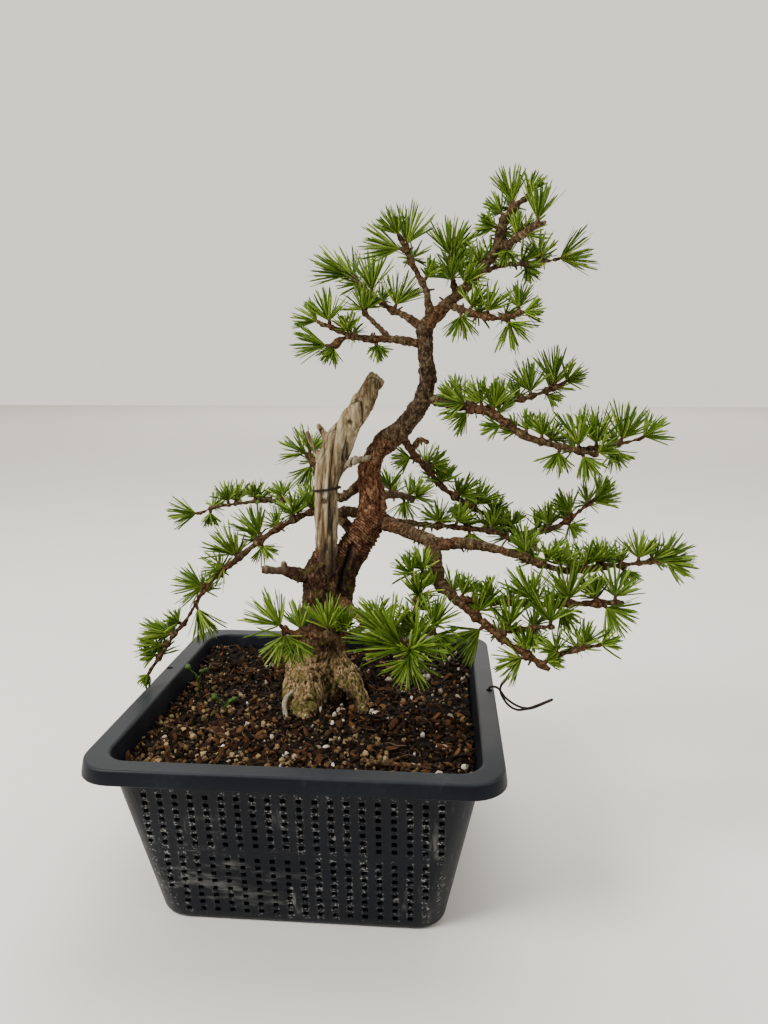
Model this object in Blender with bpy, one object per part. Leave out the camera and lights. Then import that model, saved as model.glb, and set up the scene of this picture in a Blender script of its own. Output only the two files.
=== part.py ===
"""A larch bonsai in a square perforated pond basket, in metres with +Z up.

The origin is the middle of the basket's underside, and -Y is the front. Wood is swept along
routes of (x, y, z, radius) in millimetres, and the foliage is one lumpy solid for each twig.
"""

import math

import bmesh
import bpy
from mathutils import Matrix, Vector

MM = 0.001
GAP = 0.35  # clearance between neighbouring solids
WELD = 1e-7

# Basket
RIM_HALF = 95.0
POT_HEIGHT = 90.0
BASE_HALF = 69.5
MOUTH_HALF = 85.0
WALL = 1.8
FLOOR = 2.0
CORNER = 14.0
SKIRT_DEPTH = 7.0
SKIRT_FLARE = 1.0
SKIRT_WALL = 1.5
FLANGE = 1.6
RIM_CORNER = 17.0
FOOT_ROUND = 3.0
SLOT_PITCH = 7.1
SLOT_WIDTH = 2.5
SLOT_COLUMNS = 20
SLOT_MARGIN = 9.5  # from a corner to the nearest column
UPPER_BAND = (44.7, 73.2)
LOWER_BAND = (5.5, 38.4)
FLOOR_SLOT_PITCH = 9.0
FLOOR_SLOT_LENGTH = 96.0
FLANGE_HOLE = 1.9
FLANGE_HOLES = ((92.4, 5.5), (-92.4, 23.7))

# Soil
SOIL_LEVEL = 78.5
MOUNDS = {
    "soil_heap": ((-2, 20, 77), (50, 44, 8)),
    "soil_ridge": ((0, 60, 77.5), (76, 21, 5.5)),
}

# Wood: every limb is one or more routes
TRUNK = (
    [(-4, 16, 62, 16), (-4, 15, 74, 18.5), (-4, 17, 90, 16), (-3.5, 17, 104, 13.6),
     (1, 17, 124, 13.6), (4, 17, 138, 12.8), (8.5, 17, 150, 10.4), (13, 17.5, 158, 9.4),
     (17.5, 18, 165, 8.6), (22, 18.5, 172, 8.5), (26, 19, 179, 8.4), (27.8, 20, 190, 7.7),
     (26.5, 21, 201, 7), (25.5, 21.5, 209, 6.5), (29, 21, 217, 6.2), (36, 19, 225, 6.2),
     (45, 17, 233, 5.6), (53, 14, 244, 5), (57, 12, 256, 4.4), (56, 11, 269, 4.1),
     (55, 11, 279, 4.6), (55, 11, 283, 4.4)],
    [(-1, 16, 126, 11), (-0.6, 14.6, 140, 10.8), (-0.6, 14.2, 150, 10.2), (0.6, 13.6, 156, 9.2),
     (1.8, 12.8, 161, 7.4)],
    [(-9, 15, 102, 9), (-14, 5, 89, 7.8), (-15.5, -5, 80, 6.2), (-15, -14, 72, 4.5)],
    [(-5, 12, 98, 11), (-6, -1, 86, 9.6), (-6, -9, 77, 8), (-7, -15, 68, 5)],
    [(6, 15, 102, 7), (15.5, 9.5, 92, 6.6), (21.5, 3, 84, 5.6), (25.5, -3, 76, 4.4)],
    [(0, 26, 96, 9), (4, 38, 82, 8), (6, 46, 72, 5)],
)
DEADWOOD = (
    [(2, 13, 150, 7.2), (2.6, 12.4, 162, 6.7), (2.7, 12, 176, 6.5), (3, 12, 192, 6.5),
     (3.6, 12, 203, 6.7), (6.4, 12, 214, 7.5), (11, 11.5, 224, 7.4), (16.5, 10.5, 234, 6.6),
     (22, 9.5, 243.5, 6), (27, 8.8, 251.5, 5.4), (31.5, 8, 258.5, 4.2)],
    [(6, 12, 207, 3.5), (10, 12, 209, 2.8), (17, 7, 214, 2.1), (27, 3, 217, 1.3)],
    [(5, 12, 209, 3), (1, 12, 213, 2.2), (-3, 8, 222, 1.6), (-5, 5, 229, 1)],
    [(9, 12, 217, 3), (6, 13, 222, 2.1), (2, 16, 227, 1.9), (-1, 17, 232, 1.3)],
)
CUT_STUB = (
    [(0, 14, 150, 4.4), (-9, 10, 151, 4.6), (-14, 7, 153, 4.5), (-17.5, 5, 154.5, 3.6)],
    [(-15, 6, 154, 2.4), (-22, 3, 155.6, 2.1), (-30, 0, 156.5, 1.9)],
    [(-18, 4, 155, 1.8), (-19, 3, 160.4, 1.3)],
)
LEADER = [(55, 11, 283, 4.5), (66, 11, 294, 4.1), (77, 12, 304, 3.3), (86, 13, 314, 2.9),
          (92, 14, 324, 2.6), (94, 14, 335, 2.1), (100, 13, 342, 1.8), (106, 12, 346, 1.5)]
LEADER_RIGHT = [(92, 14, 322, 2), (101, 10, 326, 1.7), (107, 6, 330, 1.5), (113, 3, 332, 1.2)]
LEADER_FAR = [(85, 13, 311, 2), (96, 20, 315, 1.5), (106, 26, 316, 1.2), (124, 34, 319, 1)]
LEADER_UP = [(71, 11, 298, 2.2), (69, 20, 310, 1.6), (68, 26, 319, 1.2)]
LEADER_LOW = [(67, 11, 294, 2.2), (78, 4, 290, 1.8), (87, -2, 287, 1.6), (96, -6, 287, 1.5),
              (102, -8, 289, 1.2)]
CROWN_LEFT = [(58, 11, 287, 3), (56, 8, 301, 2), (51, 6, 310, 1.8), (43, 4, 326, 1.5)]
CROWN_BACK = [(56, 11, 282, 3), (44, 14, 290, 2.2), (37, 18, 293, 2), (27, 23, 301, 1.7),
              (16, 30, 311, 1.3)]
MID_LEFT = [(55, 10, 275, 3), (39, 6, 277, 2.4), (27, 2, 277, 2), (18, -2, 278, 1.8),
            (11, -6, 274, 1.7), (6, -8, 270, 1.5)]
MID_LEFT_UP = [(38, 5, 277, 2), (30, 10, 285, 1.5), (24, 13, 291, 1.2)]
MID_LEFT_FRONT = [(19, -2, 278, 1.8), (11, -5, 282, 1.5), (5, -8, 284, 1.2)]
RIGHT_UPPER = [(55, 13, 248, 3.2), (70, 8, 244, 2.8), (87, 2, 241, 2.4), (105, -4, 230, 2),
               (117, -8, 226, 1.8), (140, -14, 221, 1.3)]
RIGHT_UPPER_BACK = [(84, 3, 241, 2), (95, 10, 245, 1.5), (108, 16, 247, 1.4), (129, 24, 255, 1.2)]
RIGHT_UPPER_TIP = [(127, -11, 223, 1.6), (141, -10, 224, 1.4), (162, -6, 228, 1.1)]
RIGHT_MID = [(42, 17, 232, 3), (49, 26, 217, 2.3), (57, 33, 208, 2), (65, 38, 197, 1.8),
             (85, 44, 183, 1.7), (98, 47, 177, 1.5), (111, 48, 166, 1.5)]
RIGHT_MID_SPUR = [(49, 25, 220, 2), (53, 18, 225, 1.7), (57, 17, 224, 1.3)]
RIGHT_MID_TIP = [(107, 47, 168, 1.8), (120, 44, 171, 1.7), (130, 42, 174, 1.5),
                 (138, 40, 180, 1.3), (151, 37, 192, 1)]
RIGHT_BACK = [(28, 21, 183, 3), (40, 22, 180, 2.4), (54, 28, 177, 2), (73, 33, 175, 1.7),
              (94, 36, 172, 1.5), (110, 37, 165, 1.5), (125, 38, 160, 1.3)]
RIGHT_LOW = [(26, 20, 181, 5), (38, 14, 179, 4.4), (53, 4, 176, 4), (65, -4, 173, 3.7),
             (78, -9, 175, 3.5), (99, -16, 172, 2.3), (125, -18, 164, 1.8), (146, -14, 165, 1.6),
             (176, -10, 168, 1.1)]
RIGHT_CUT = [(60, -2, 174, 3.8), (63, -12, 162, 3.8), (65, -17, 156, 3.2), (71, -22, 151, 2.4),
             (89, -32, 138, 1.8), (103, -40, 130, 1.7), (117, -46, 123, 1.5)]
RIGHT_CUT_SPUR = [(63, -13, 159, 2.6), (57, -18, 160, 2.1), (52, -22, 159, 1.7)]
RIGHT_CUT_HANGER = [(52, -21, 159, 1.7), (54, -26, 152, 1.5), (53, -36, 145, 1.4), (52.5, -46, 140.5, 1.2)]
RIGHT_CUT_YOUNG = [(114, -44, 125, 1.5), (124, -45, 131, 1.3), (138, -46, 135, 1)]
RIGHT_CUT_INNER = [(91, -33, 136, 1.7), (103, -36, 139, 1.4), (119, -37, 141, 1.2)]
RIGHT_LONG = [(72, -22, 150, 2), (85, -25, 149, 1.8), (113, -27, 149, 1.7), (154, -25, 150, 1.6)]
FRONT = [(9, 14, 137, 4.2), (21, -10, 137, 3.2), (31, -33, 139, 2.8), (42, -51, 138.5, 2.2),
         (51.5, -61, 135.5, 1.9)]
FRONT_RIGHT = [(47, -56, 137, 1.8), (55, -51, 138, 1.5), (62, -44, 140.5, 1.3)]
FRONT_LEFT = [(31, -34, 140, 2.6), (23, -50, 139, 2.1), (12, -58, 141, 1.8), (1, -60, 142, 1.6),
              (-6, -60, 144, 1.4)]
BACK_LEFT = [(23, 23, 202, 3.6), (6, 45, 189, 2.9), (-5, 62, 198, 2.4), (-18, 78, 210, 1.8)]
LEFT_BACK = [(20, 21, 184, 3.8), (11, 27, 184, 3.2), (-2, 42, 181, 2.6), (-19, 52, 185, 1.7),
             (-45, 58, 184, 1.4), (-71, 60, 180, 1.2), (-82, 59, 176, 1)]
CASCADE = [(18, 19, 172, 4.2), (7, 32, 180, 3.3), (-7, 30, 183, 2.2), (-20, 24, 178, 1.8),
           (-33, 17, 170, 1.7), (-53, 6, 154, 1.5), (-64, 1, 142, 1.4), (-72, -4, 128, 1.3),
           (-80, -7, 118, 1.2), (-92, -9, 100, 1)]
BACK_RIGHT = [(26, 20, 192, 3.2), (36, 45, 191, 2.4), (41, 62, 188, 2.1), (47, 76, 183, 1.7)]

LIMBS = {
    "limb_leader": [LEADER, LEADER_RIGHT, LEADER_FAR, LEADER_UP],
    "limb_leader_low": [LEADER_LOW],
    "limb_crown_left": [CROWN_LEFT],
    "limb_crown_back": [CROWN_BACK],
    "limb_mid_left": [MID_LEFT, MID_LEFT_UP, MID_LEFT_FRONT],
    "limb_right_upper": [RIGHT_UPPER, RIGHT_UPPER_BACK, RIGHT_UPPER_TIP],
    "limb_right_mid": [RIGHT_MID, RIGHT_MID_SPUR, RIGHT_MID_TIP],
    "limb_right_low": [RIGHT_LOW],
    "limb_right_back": [RIGHT_BACK],
    "limb_right_cut": [RIGHT_CUT, RIGHT_CUT_SPUR, RIGHT_CUT_HANGER, RIGHT_CUT_YOUNG, RIGHT_CUT_INNER],
    "limb_right_long": [RIGHT_LONG],
    "limb_front": [FRONT, FRONT_LEFT, FRONT_RIGHT],
    "limb_cascade": [CASCADE],
    "limb_left_back": [LEFT_BACK],
    "limb_back_left": [BACK_LEFT],
    "limb_back_right": [BACK_RIGHT],
}

# Foliage: each tuft is (share of the route, angle in the front view, lean to the front, length),
# with both angles in degrees
NEEDLES = {
    "needles_leader": (LEADER, [
        (0.31, 65, 25, 14), (0.48, 100, -30, 14), (0.75, 160, 20, 13), (0.89, 95, 5, 19),
        (0.97, 60, 25, 13)]),
    "needles_leader_right": (LEADER_RIGHT, [(0.4, 80, -20, 12), (0.85, 82, 5, 19)]),
    "needles_leader_far": (LEADER_FAR, [
        (0.3, 85, -30, 12), (0.55, -50, 15, 10), (0.77, 85, -10, 14), (1, 15, 5, 19)]),
    "needles_leader_low": (LEADER_LOW, [
        (0.25, -85, 15, 15), (0.57, 78, 10, 17), (0.83, -65, 15, 16), (1, 60, 5, 13)]),
    "needles_leader_up": (LEADER_UP, [(0.3, 110, 15, 15), (0.67, 70, 20, 14), (1, 92, -5, 20)]),
    "needles_crown_left": (CROWN_LEFT, [
        (0.44, 50, 20, 12), (0.85, 170, 10, 20), (0.88, 75, -10, 20), (1, 110, 20, 16)]),
    "needles_crown_back": (CROWN_BACK, [
        (0.39, 65, 15, 18), (0.67, 100, 5, 20), (0.94, 130, -25, 18), (1, 162, 5, 20)]),
    "needles_mid_left": (MID_LEFT, [
        (0.5, -80, 20, 9), (0.7, 110, 25, 11), (0.85, -120, 25, 12), (0.95, 176, 10, 18)]),
    "needles_mid_left_up": (MID_LEFT_UP, [(0.94, 125, 5, 16), (1, 60, -20, 13)]),
    "needles_mid_left_front": (MID_LEFT_FRONT, [(0.72, 95, 10, 17), (1, 150, -5, 14)]),
    "needles_right_upper": (RIGHT_UPPER, [
        (0.21, 120, -20, 14), (0.28, 152, 15, 17), (0.29, -140, 15, 14), (0.4, 90, 10, 17),
        (0.5, -165, 20, 12), (0.66, 85, -10, 14), (0.81, -100, 10, 13), (0.91, 100, 5, 20),
        (0.95, -50, 15, 14)]),
    "needles_right_upper_back": (RIGHT_UPPER_BACK, [
        (0.32, 120, -15, 12), (0.61, 105, 10, 19), (0.9, 95, 0, 19), (0.97, 10, 0, 12)]),
    "needles_right_upper_tip": (RIGHT_UPPER_TIP, [
        (0.38, 96, 10, 19), (0.57, -60, 15, 12), (0.75, 75, 0, 19), (1, 35, 5, 15)]),
    "needles_right_mid": (RIGHT_MID, [
        (0.22, 178, 15, 12), (0.46, 98, 10, 15), (0.55, 25, 15, 16), (0.6, -110, -20, 11),
        (0.7, 45, 5, 17), (0.8, 60, 10, 13), (0.97, -70, 12, 13)]),
    "needles_right_mid_tip": (RIGHT_MID_TIP, [
        (0.3, 80, 0, 14), (0.58, -35, 10, 12), (0.68, 120, 0, 16), (0.95, 28, 5, 17)]),
    "needles_right_back": (RIGHT_BACK, [
        (0.4, 100, 15, 15), (0.54, -80, 0, 12), (0.67, 80, 15, 13), (0.86, 85, 0, 15),
        (1, 10, 5, 15)]),
    "needles_right_low": (RIGHT_LOW, [
        (0.57, 100, -20, 13), (0.65, 80, 15, 13), (0.75, 70, -15, 14), (0.81, 90, 10, 14),
        (0.87, -70, 15, 12), (0.93, 75, 0, 16), (0.99, 40, -10, 16), (1, -15, 10, 15)]),
    "needles_right_cut": (RIGHT_CUT, [
        (0.41, 60, -10, 13), (0.53, 62, 10, 18), (0.6, -140, 10, 18), (0.72, 60, -20, 12),
        (0.87, -160, 15, 16)]),
    "needles_right_cut_spur": (RIGHT_CUT_SPUR, [(0.6, 100, 15, 14), (1, 140, 5, 13)]),
    "needles_right_cut_hanger": (RIGHT_CUT_HANGER, [(0.4, 75, 25, 14), (0.9, 120, 20, 11)]),
    "needles_right_cut_inner": (RIGHT_CUT_INNER, [
        (0.3, 95, 10, 17), (0.66, -80, 15, 11), (1, 95, 5, 18)]),
    "needles_right_long": (RIGHT_LONG, [
        (0.24, 110, 20, 13), (0.47, 105, 10, 18), (0.61, -45, 15, 13), (0.7, 92, 10, 21),
        (0.87, -35, 20, 17), (0.95, 85, -5, 18)]),
    "needles_right_cut_young": (RIGHT_CUT_YOUNG, [(0.4, 110, 15, 12), (0.9, 70, 5, 14)]),
    "needles_front": (FRONT, [
        (0.7, 100, 5, 15), (0.88, 110, 10, 20), (1, -90, 25, 17), (1, 150, 15, 26),
        (1, 40, 20, 18)]),
    "needles_front_right": (FRONT_RIGHT, [(0.5, 80, 5, 13), (1, 60, 0, 16), (1, -50, 10, 14)]),
    "needles_front_left": (FRONT_LEFT, [
        (0.41, 90, 15, 12), (0.59, 92, 5, 17), (0.85, -110, 20, 12), (1, 130, 5, 19),
        (0.97, -100, 25, 17)]),
    "needles_cascade": (CASCADE, [
        (0.28, 100, 10, 15), (0.41, 120, 0, 19), (0.42, -60, 15, 12), (0.51, 140, 5, 19),
        (0.55, -160, 15, 15), (0.65, 178, 5, 18), (0.74, -65, 10, 18)]),
    "needles_cascade_tip": (CASCADE, [
        (0.81, 150, 0, 10), (0.86, 175, 5, 17), (0.96, 170, 10, 10)]),
    "needles_left_back": (LEFT_BACK, [
        (0.35, 100, 15, 12), (0.53, 110, -10, 11), (0.69, 95, 10, 11), (0.84, 95, 0, 13),
        (1, -178, 5, 17)]),
    "needles_back_left": (BACK_LEFT, [
        (0.54, 110, -20, 14), (0.92, -110, 10, 18), (1, 145, 5, 19), (1, 70, -25, 18)]),
    "needles_back_right": (BACK_RIGHT, [(0.43, 100, -10, 14), (0.8, -80, 0, 15), (1, 40, 5, 16)]),
}
TUFT_ASPECT = 0.8  # width of a tuft over its length
SLEEVE = 1.4  # foliage round a twig between its tufts

# Small pieces
WIRE_RADIUS = 0.65
GUY_WIRE = (
    [(92.4, 5.5, 85.4, WIRE_RADIUS), (92.4, 5.5, 91.2, WIRE_RADIUS), (94.4, 5.3, 92.2, WIRE_RADIUS),
     (97.4, 5.2, 91.2, WIRE_RADIUS), (101.5, 5, 86, WIRE_RADIUS), (107, 5.2, 82, WIRE_RADIUS),
     (112, 5.3, 80.4, WIRE_RADIUS), (116, 5, 81, 0.9), (126, 4.5, 86, 0.8)],
    [(104, 8.5, 98, 0.5), (100.5, 8, 94.5, 0.8), (98.6, 7.4, 91, WIRE_RADIUS),
     (99.2, 6.8, 87, WIRE_RADIUS), (103, 6.2, 81.5, WIRE_RADIUS), (108, 5.9, 79, WIRE_RADIUS),
     (114, 5.5, 80, WIRE_RADIUS)],
)
JIN_WIRE_MIDDLE = (3.6, 12, 199)
JIN_WIRE_TILT = -8.0
JIN_WIRE_RING = 7.7
JIN_WIRE_RADIUS = 0.45
SOIL_TWIG_RIGHT = ([(30, -59, 80, 1.1), (40, -62, 80.6, 1.2), (50, -63, 80.4, 1), (62, -64, 80, 0.7)],
                   [(41, -62, 80.6, 1), (46, -57, 80.8, 0.8), (50, -53, 80.2, 0.6)])
SOIL_TWIG_LEFT = ([(-56, -31, 79.6, 0.8), (-46, -38, 80.4, 0.9), (-35, -45, 79.8, 0.7)],)
WEED_LEFT = ([(-74, 20, 76, 0.8), (-75, 20, 86, 0.8), (-79, 19, 91, 0.8)],
             [(-75, 20, 84, 0.8), (-71, 17, 90, 0.8)])
WEED_FRONT = ([(-50, -8, 76, 0.8), (-51, -8, 83, 0.8), (-55, -9, 86, 0.8)],
              [(-51, -8, 81.5, 0.8), (-47, -10, 85, 0.8)])
LEAF = (3.0, 1.8, 0.8)


def clear_scene():
    for item in list(bpy.data.objects):
        bpy.data.objects.remove(item, do_unlink=True)


def collection(name):
    """A collection of this name, in the scene."""
    made = bpy.data.collections.new(name)
    bpy.context.scene.collection.children.link(made)
    return made


def material(name, colour, roughness, metallic=0.0):
    made = bpy.data.materials.new(name)
    made.use_nodes = True
    shader = made.node_tree.nodes["Principled BSDF"]
    shader.inputs["Base Color"].default_value = (*colour, 1)
    shader.inputs["Roughness"].default_value = roughness
    shader.inputs["Metallic"].default_value = metallic
    return made


def mesh_of(bm):
    """The mesh of a bmesh that is then freed."""
    mesh = bpy.data.meshes.new("shape")
    bm.to_mesh(mesh)
    bm.free()
    return mesh


def evaluated_mesh(item):
    graph = bpy.context.evaluated_depsgraph_get()
    return bpy.data.meshes.new_from_object(item.evaluated_get(graph))


def joined(meshes):
    """Several meshes as the loose islands of one."""
    bm = bmesh.new()
    for mesh in meshes:
        bm.from_mesh(mesh)
    return mesh_of(bm)


def one_boolean(mesh, other, operation, solver):
    target = bpy.data.objects.new("target", mesh)
    tool = bpy.data.objects.new("tool", other)
    for item in (target, tool):
        bpy.context.scene.collection.objects.link(item)
    modifier = target.modifiers.new("boolean", "BOOLEAN")
    modifier.operation = operation
    modifier.solver = solver
    modifier.use_self = True
    modifier.object = tool
    result = evaluated_mesh(target)
    for item in (target, tool):
        bpy.data.objects.remove(item)
    return result


def is_closed(mesh):
    """Whether every edge still has two faces once points that all but touch are one."""
    bm = bmesh.new()
    bm.from_mesh(mesh)
    bmesh.ops.remove_doubles(bm, verts=bm.verts, dist=WELD)
    closed = all(len(edge.link_faces) == 2 for edge in bm.edges)
    bm.free()
    return closed


def boolean(mesh, others, operation):
    """The closed mesh after a union with, or a cut by, the closed meshes in others."""
    if not others:
        return mesh
    result = one_boolean(mesh, joined(others), operation, "EXACT")
    if is_closed(result):
        return result
    for other in others:
        mesh = one_boolean(mesh, other, operation, "MANIFOLD")
    return mesh


def largest_island(mesh):
    """The mesh without the small offcuts that a cut leaves loose."""
    bm = bmesh.new()
    bm.from_mesh(mesh)
    islands = []
    left = set(bm.verts)
    while left:
        island = [left.pop()]
        for vertex in island:
            for edge in vertex.link_edges:
                other = edge.other_vert(vertex)
                if other in left:
                    left.remove(other)
                    island.append(other)
        islands.append(island)
    islands.sort(key=len)
    offcuts = [vertex for island in islands[:-1] for vertex in island]
    bmesh.ops.delete(bm, geom=offcuts, context="VERTS")
    bmesh.ops.triangulate(bm, faces=bm.faces)
    return mesh_of(bm)


def rounded_block(bottom_half, top_half, low, high, corner, foot=0.0, segments=4):
    """A tapered square block with rounded upright edges, and a rounded bottom edge if foot is set."""
    bm = bmesh.new()
    bmesh.ops.create_cube(bm, size=2)
    for vertex in bm.verts:
        half, level = (top_half, high) if vertex.co.z > 0 else (bottom_half, low)
        vertex.co = Vector((vertex.co.x * half, vertex.co.y * half, level)) * MM
    uprights = [e for e in bm.edges if abs(e.verts[0].co.z - e.verts[1].co.z) > WELD]
    bmesh.ops.bevel(bm, geom=uprights, offset=corner * MM, segments=segments, profile=0.5,
                    affect="EDGES")
    if foot:
        bottom = [e for e in bm.edges if all(abs(v.co.z - low * MM) < WELD for v in e.verts)]
        bmesh.ops.bevel(bm, geom=bottom, offset=foot * MM, segments=2, profile=0.5, affect="EDGES")
    return mesh_of(bm)


def box(low, high):
    bm = bmesh.new()
    bmesh.ops.create_cube(bm, size=1)
    size = Vector(high) - Vector(low)
    middle = (Vector(high) + Vector(low)) / 2
    bmesh.ops.scale(bm, vec=size * MM, verts=bm.verts)
    bmesh.ops.translate(bm, vec=middle * MM, verts=bm.verts)
    return mesh_of(bm)


def ellipsoid(centre, radii, turn=Matrix(), segments=5, rings=3, grow=0.0):
    bm = bmesh.new()
    bmesh.ops.create_uvsphere(bm, u_segments=segments, v_segments=rings, radius=1)
    bmesh.ops.scale(bm, vec=[(r + grow) * MM for r in radii], verts=bm.verts)
    bmesh.ops.transform(bm, matrix=Matrix.Translation(Vector(centre) * MM) @ turn, verts=bm.verts)
    return mesh_of(bm)


def tube(route, grow=0.0, level=1):
    """A round limb swept along a route, as a closed mesh; grow makes it larger all round."""
    points = [Vector(point[:3]) for point in route]
    points[0] = points[0] - (points[1] - points[0]).normalized() * grow
    points[-1] = points[-1] + (points[-1] - points[-2]).normalized() * grow
    curve = bpy.data.curves.new("route", "CURVE")
    curve.dimensions = "3D"
    curve.bevel_depth = MM
    curve.bevel_resolution = level
    curve.use_fill_caps = True
    spline = curve.splines.new("POLY")
    spline.points.add(len(points) - 1)
    for knot, point, step in zip(spline.points, points, route):
        knot.co = (*(point * MM), 1)
        knot.radius = step[3] + grow
    holder = bpy.data.objects.new("route", curve)
    bpy.context.scene.collection.objects.link(holder)
    mesh = evaluated_mesh(holder)
    bpy.data.objects.remove(holder)
    bm = bmesh.new()
    bm.from_mesh(mesh)
    bmesh.ops.remove_doubles(bm, verts=bm.verts, dist=WELD)
    bmesh.ops.recalc_face_normals(bm, faces=bm.faces)
    return mesh_of(bm)


def limb(routes, grow=0.0, level=1):
    """Routes joined into one closed body of wood."""
    tubes = [tube(route, grow, level) for route in routes]
    return boolean(tubes[0], tubes[1:], "UNION")


def place(route, share):
    """The point at this share of a route's length, in millimetres, and the radius there."""
    points = [Vector(point[:3]) for point in route]
    lengths = [(b - a).length for a, b in zip(points, points[1:])]
    reach = share * sum(lengths)
    for i, length in enumerate(lengths):
        if reach <= length or i == len(lengths) - 1:
            t = min(reach / length, 1)
            return points[i].lerp(points[i + 1], t), route[i][3] * (1 - t) + route[i + 1][3] * t
        reach -= length


def tuft(route, share, angle, lean, length, grow=0.0):
    """One brush of needles as an egg whose narrow end sits on the twig."""
    root, _ = place(route, share)
    around, forward = math.radians(angle), math.radians(lean)
    way = Vector((math.cos(around) * math.cos(forward), -math.sin(forward),
                  math.sin(around) * math.cos(forward)))
    turn = way.to_track_quat("Z", "Y").to_matrix().to_4x4()
    half = length / 2
    return ellipsoid(root + way * half, (half * TUFT_ASPECT, half * TUFT_ASPECT, half), turn,
                     grow=grow)


def sleeve(route, start, end, grow=0.0):
    """Short foliage along a twig, which joins its tufts."""
    steps = 3
    points = []
    for i in range(steps + 1):
        point, radius = place(route, start + (end - start) * i / steps)
        points.append((*point, radius + SLEEVE))
    return tube(points, grow)


def spans(mesh):
    low = [min(v.co[i] for v in mesh.vertices) for i in range(3)]
    high = [max(v.co[i] for v in mesh.vertices) for i in range(3)]
    return low, high


def touching(mesh, others):
    """The meshes in others whose boxes meet this one's."""
    low, high = spans(mesh)
    found = []
    for other in others:
        near, far = spans(other)
        if all(near[i] < high[i] and low[i] < far[i] for i in range(3)):
            found.append(other)
    return found


def add_part(name, mesh, finish):
    """A named sub-part of the tree, with smooth shading up to its sharp edges."""
    mesh.name = name
    mesh.materials.clear()
    mesh.materials.append(finish)
    mesh.shade_smooth()
    mesh.set_sharp_from_angle(angle=math.radians(40))
    item = bpy.data.objects.new(name, mesh)
    parts.objects.link(item)
    item.parent = stand
    return item


def add_cutter(item, name, meshes):
    """Cuts a part with closed shapes that stay editable in the cutters collection."""
    cutter = bpy.data.objects.new(name, joined(meshes))
    cutter.hide_render = True
    cutter.display_type = "WIRE"
    cutters.objects.link(cutter)
    modifier = item.modifiers.new(name, "BOOLEAN")
    modifier.operation = "DIFFERENCE"
    modifier.object = cutter


def wall_half(height):
    """Half the basket's outer width at a height."""
    top = MOUTH_HALF + WALL
    return BASE_HALF + (top - BASE_HALF) * height / POT_HEIGHT


def slots(along):
    """Upright slots through two facing walls: one for each column of small square holes."""
    reach = RIM_HALF + 5
    found = []
    for column in range(SLOT_COLUMNS):
        middle = (column - (SLOT_COLUMNS - 1) / 2) * SLOT_PITCH
        for low, high in (UPPER_BAND, LOWER_BAND):
            if abs(middle) > wall_half(low) - SLOT_MARGIN:
                continue
            start, end = middle - SLOT_WIDTH / 2, middle + SLOT_WIDTH / 2
            if along == "y":
                found.append(box((start, -reach, low), (end, reach, high)))
            else:
                found.append(box((-reach, start, low), (reach, end, high)))
    return found


def make_basket():
    wall = rounded_block(BASE_HALF, wall_half(POT_HEIGHT - FLANGE / 2), 0, POT_HEIGHT - FLANGE / 2,
                         CORNER, foot=FOOT_ROUND)
    skirt_low = POT_HEIGHT - SKIRT_DEPTH
    rim = rounded_block(RIM_HALF + SKIRT_FLARE, RIM_HALF, skirt_low, POT_HEIGHT, RIM_CORNER)
    hollow_half = RIM_HALF - SKIRT_WALL
    hollow = rounded_block(hollow_half + SKIRT_FLARE, hollow_half, skirt_low - 1,
                           POT_HEIGHT - FLANGE, RIM_CORNER - SKIRT_WALL)
    rim = boolean(rim, [hollow], "DIFFERENCE")
    over = 1.0
    inside = rounded_block(wall_half(FLOOR) - WALL, wall_half(POT_HEIGHT + over) - WALL, FLOOR,
                           POT_HEIGHT + over, CORNER - WALL, foot=FOOT_ROUND)
    shell = boolean(boolean(wall, [rim], "UNION"), [inside], "DIFFERENCE")
    basket = add_part("pot_basket", shell, black_plastic)
    add_cutter(basket, "side_slots_front", slots("y"))
    add_cutter(basket, "side_slots_side", slots("x"))
    rows = int(FLOOR_SLOT_LENGTH / FLOOR_SLOT_PITCH)
    half = FLOOR_SLOT_LENGTH / 2
    floor_slots = []
    for row in range(rows):
        y = (row - (rows - 1) / 2) * FLOOR_SLOT_PITCH
        near, far = y - SLOT_WIDTH / 2, y + SLOT_WIDTH / 2
        floor_slots.append(box((-half, near, -over), (half, far, FLOOR + over)))
    add_cutter(basket, "floor_slots", floor_slots)
    holes = []
    for x, y in FLANGE_HOLES:
        middle = (x, y, POT_HEIGHT - FLANGE / 2)
        holes.append(ellipsoid(middle, (FLANGE_HOLE, FLANGE_HOLE, 2 * FLANGE), segments=8, rings=4))
    add_cutter(basket, "flange_holes", holes)


def make_soil(buried):
    """The root ball, the heap on it and the ridge behind, cut clear of all that stands in them."""
    bottom = FLOOR + GAP
    bed = rounded_block(wall_half(bottom) - WALL - GAP, wall_half(SOIL_LEVEL) - WALL - GAP, bottom,
                        SOIL_LEVEL, CORNER - WALL - GAP, foot=FOOT_ROUND + GAP)
    add_part("soil_bed", largest_island(boolean(bed, buried, "DIFFERENCE")), dark_soil)
    taken = [box((-RIM_HALF, -RIM_HALF, 0), (RIM_HALF, RIM_HALF, SOIL_LEVEL + GAP)), *buried]
    for name, (centre, radii) in MOUNDS.items():
        mound = ellipsoid(centre, radii, segments=14, rings=6)
        mound = boolean(mound, touching(mound, taken), "DIFFERENCE")
        add_part(name, largest_island(mound), dark_soil)
        taken.append(ellipsoid(centre, [r + GAP for r in radii], segments=14, rings=6))


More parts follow.
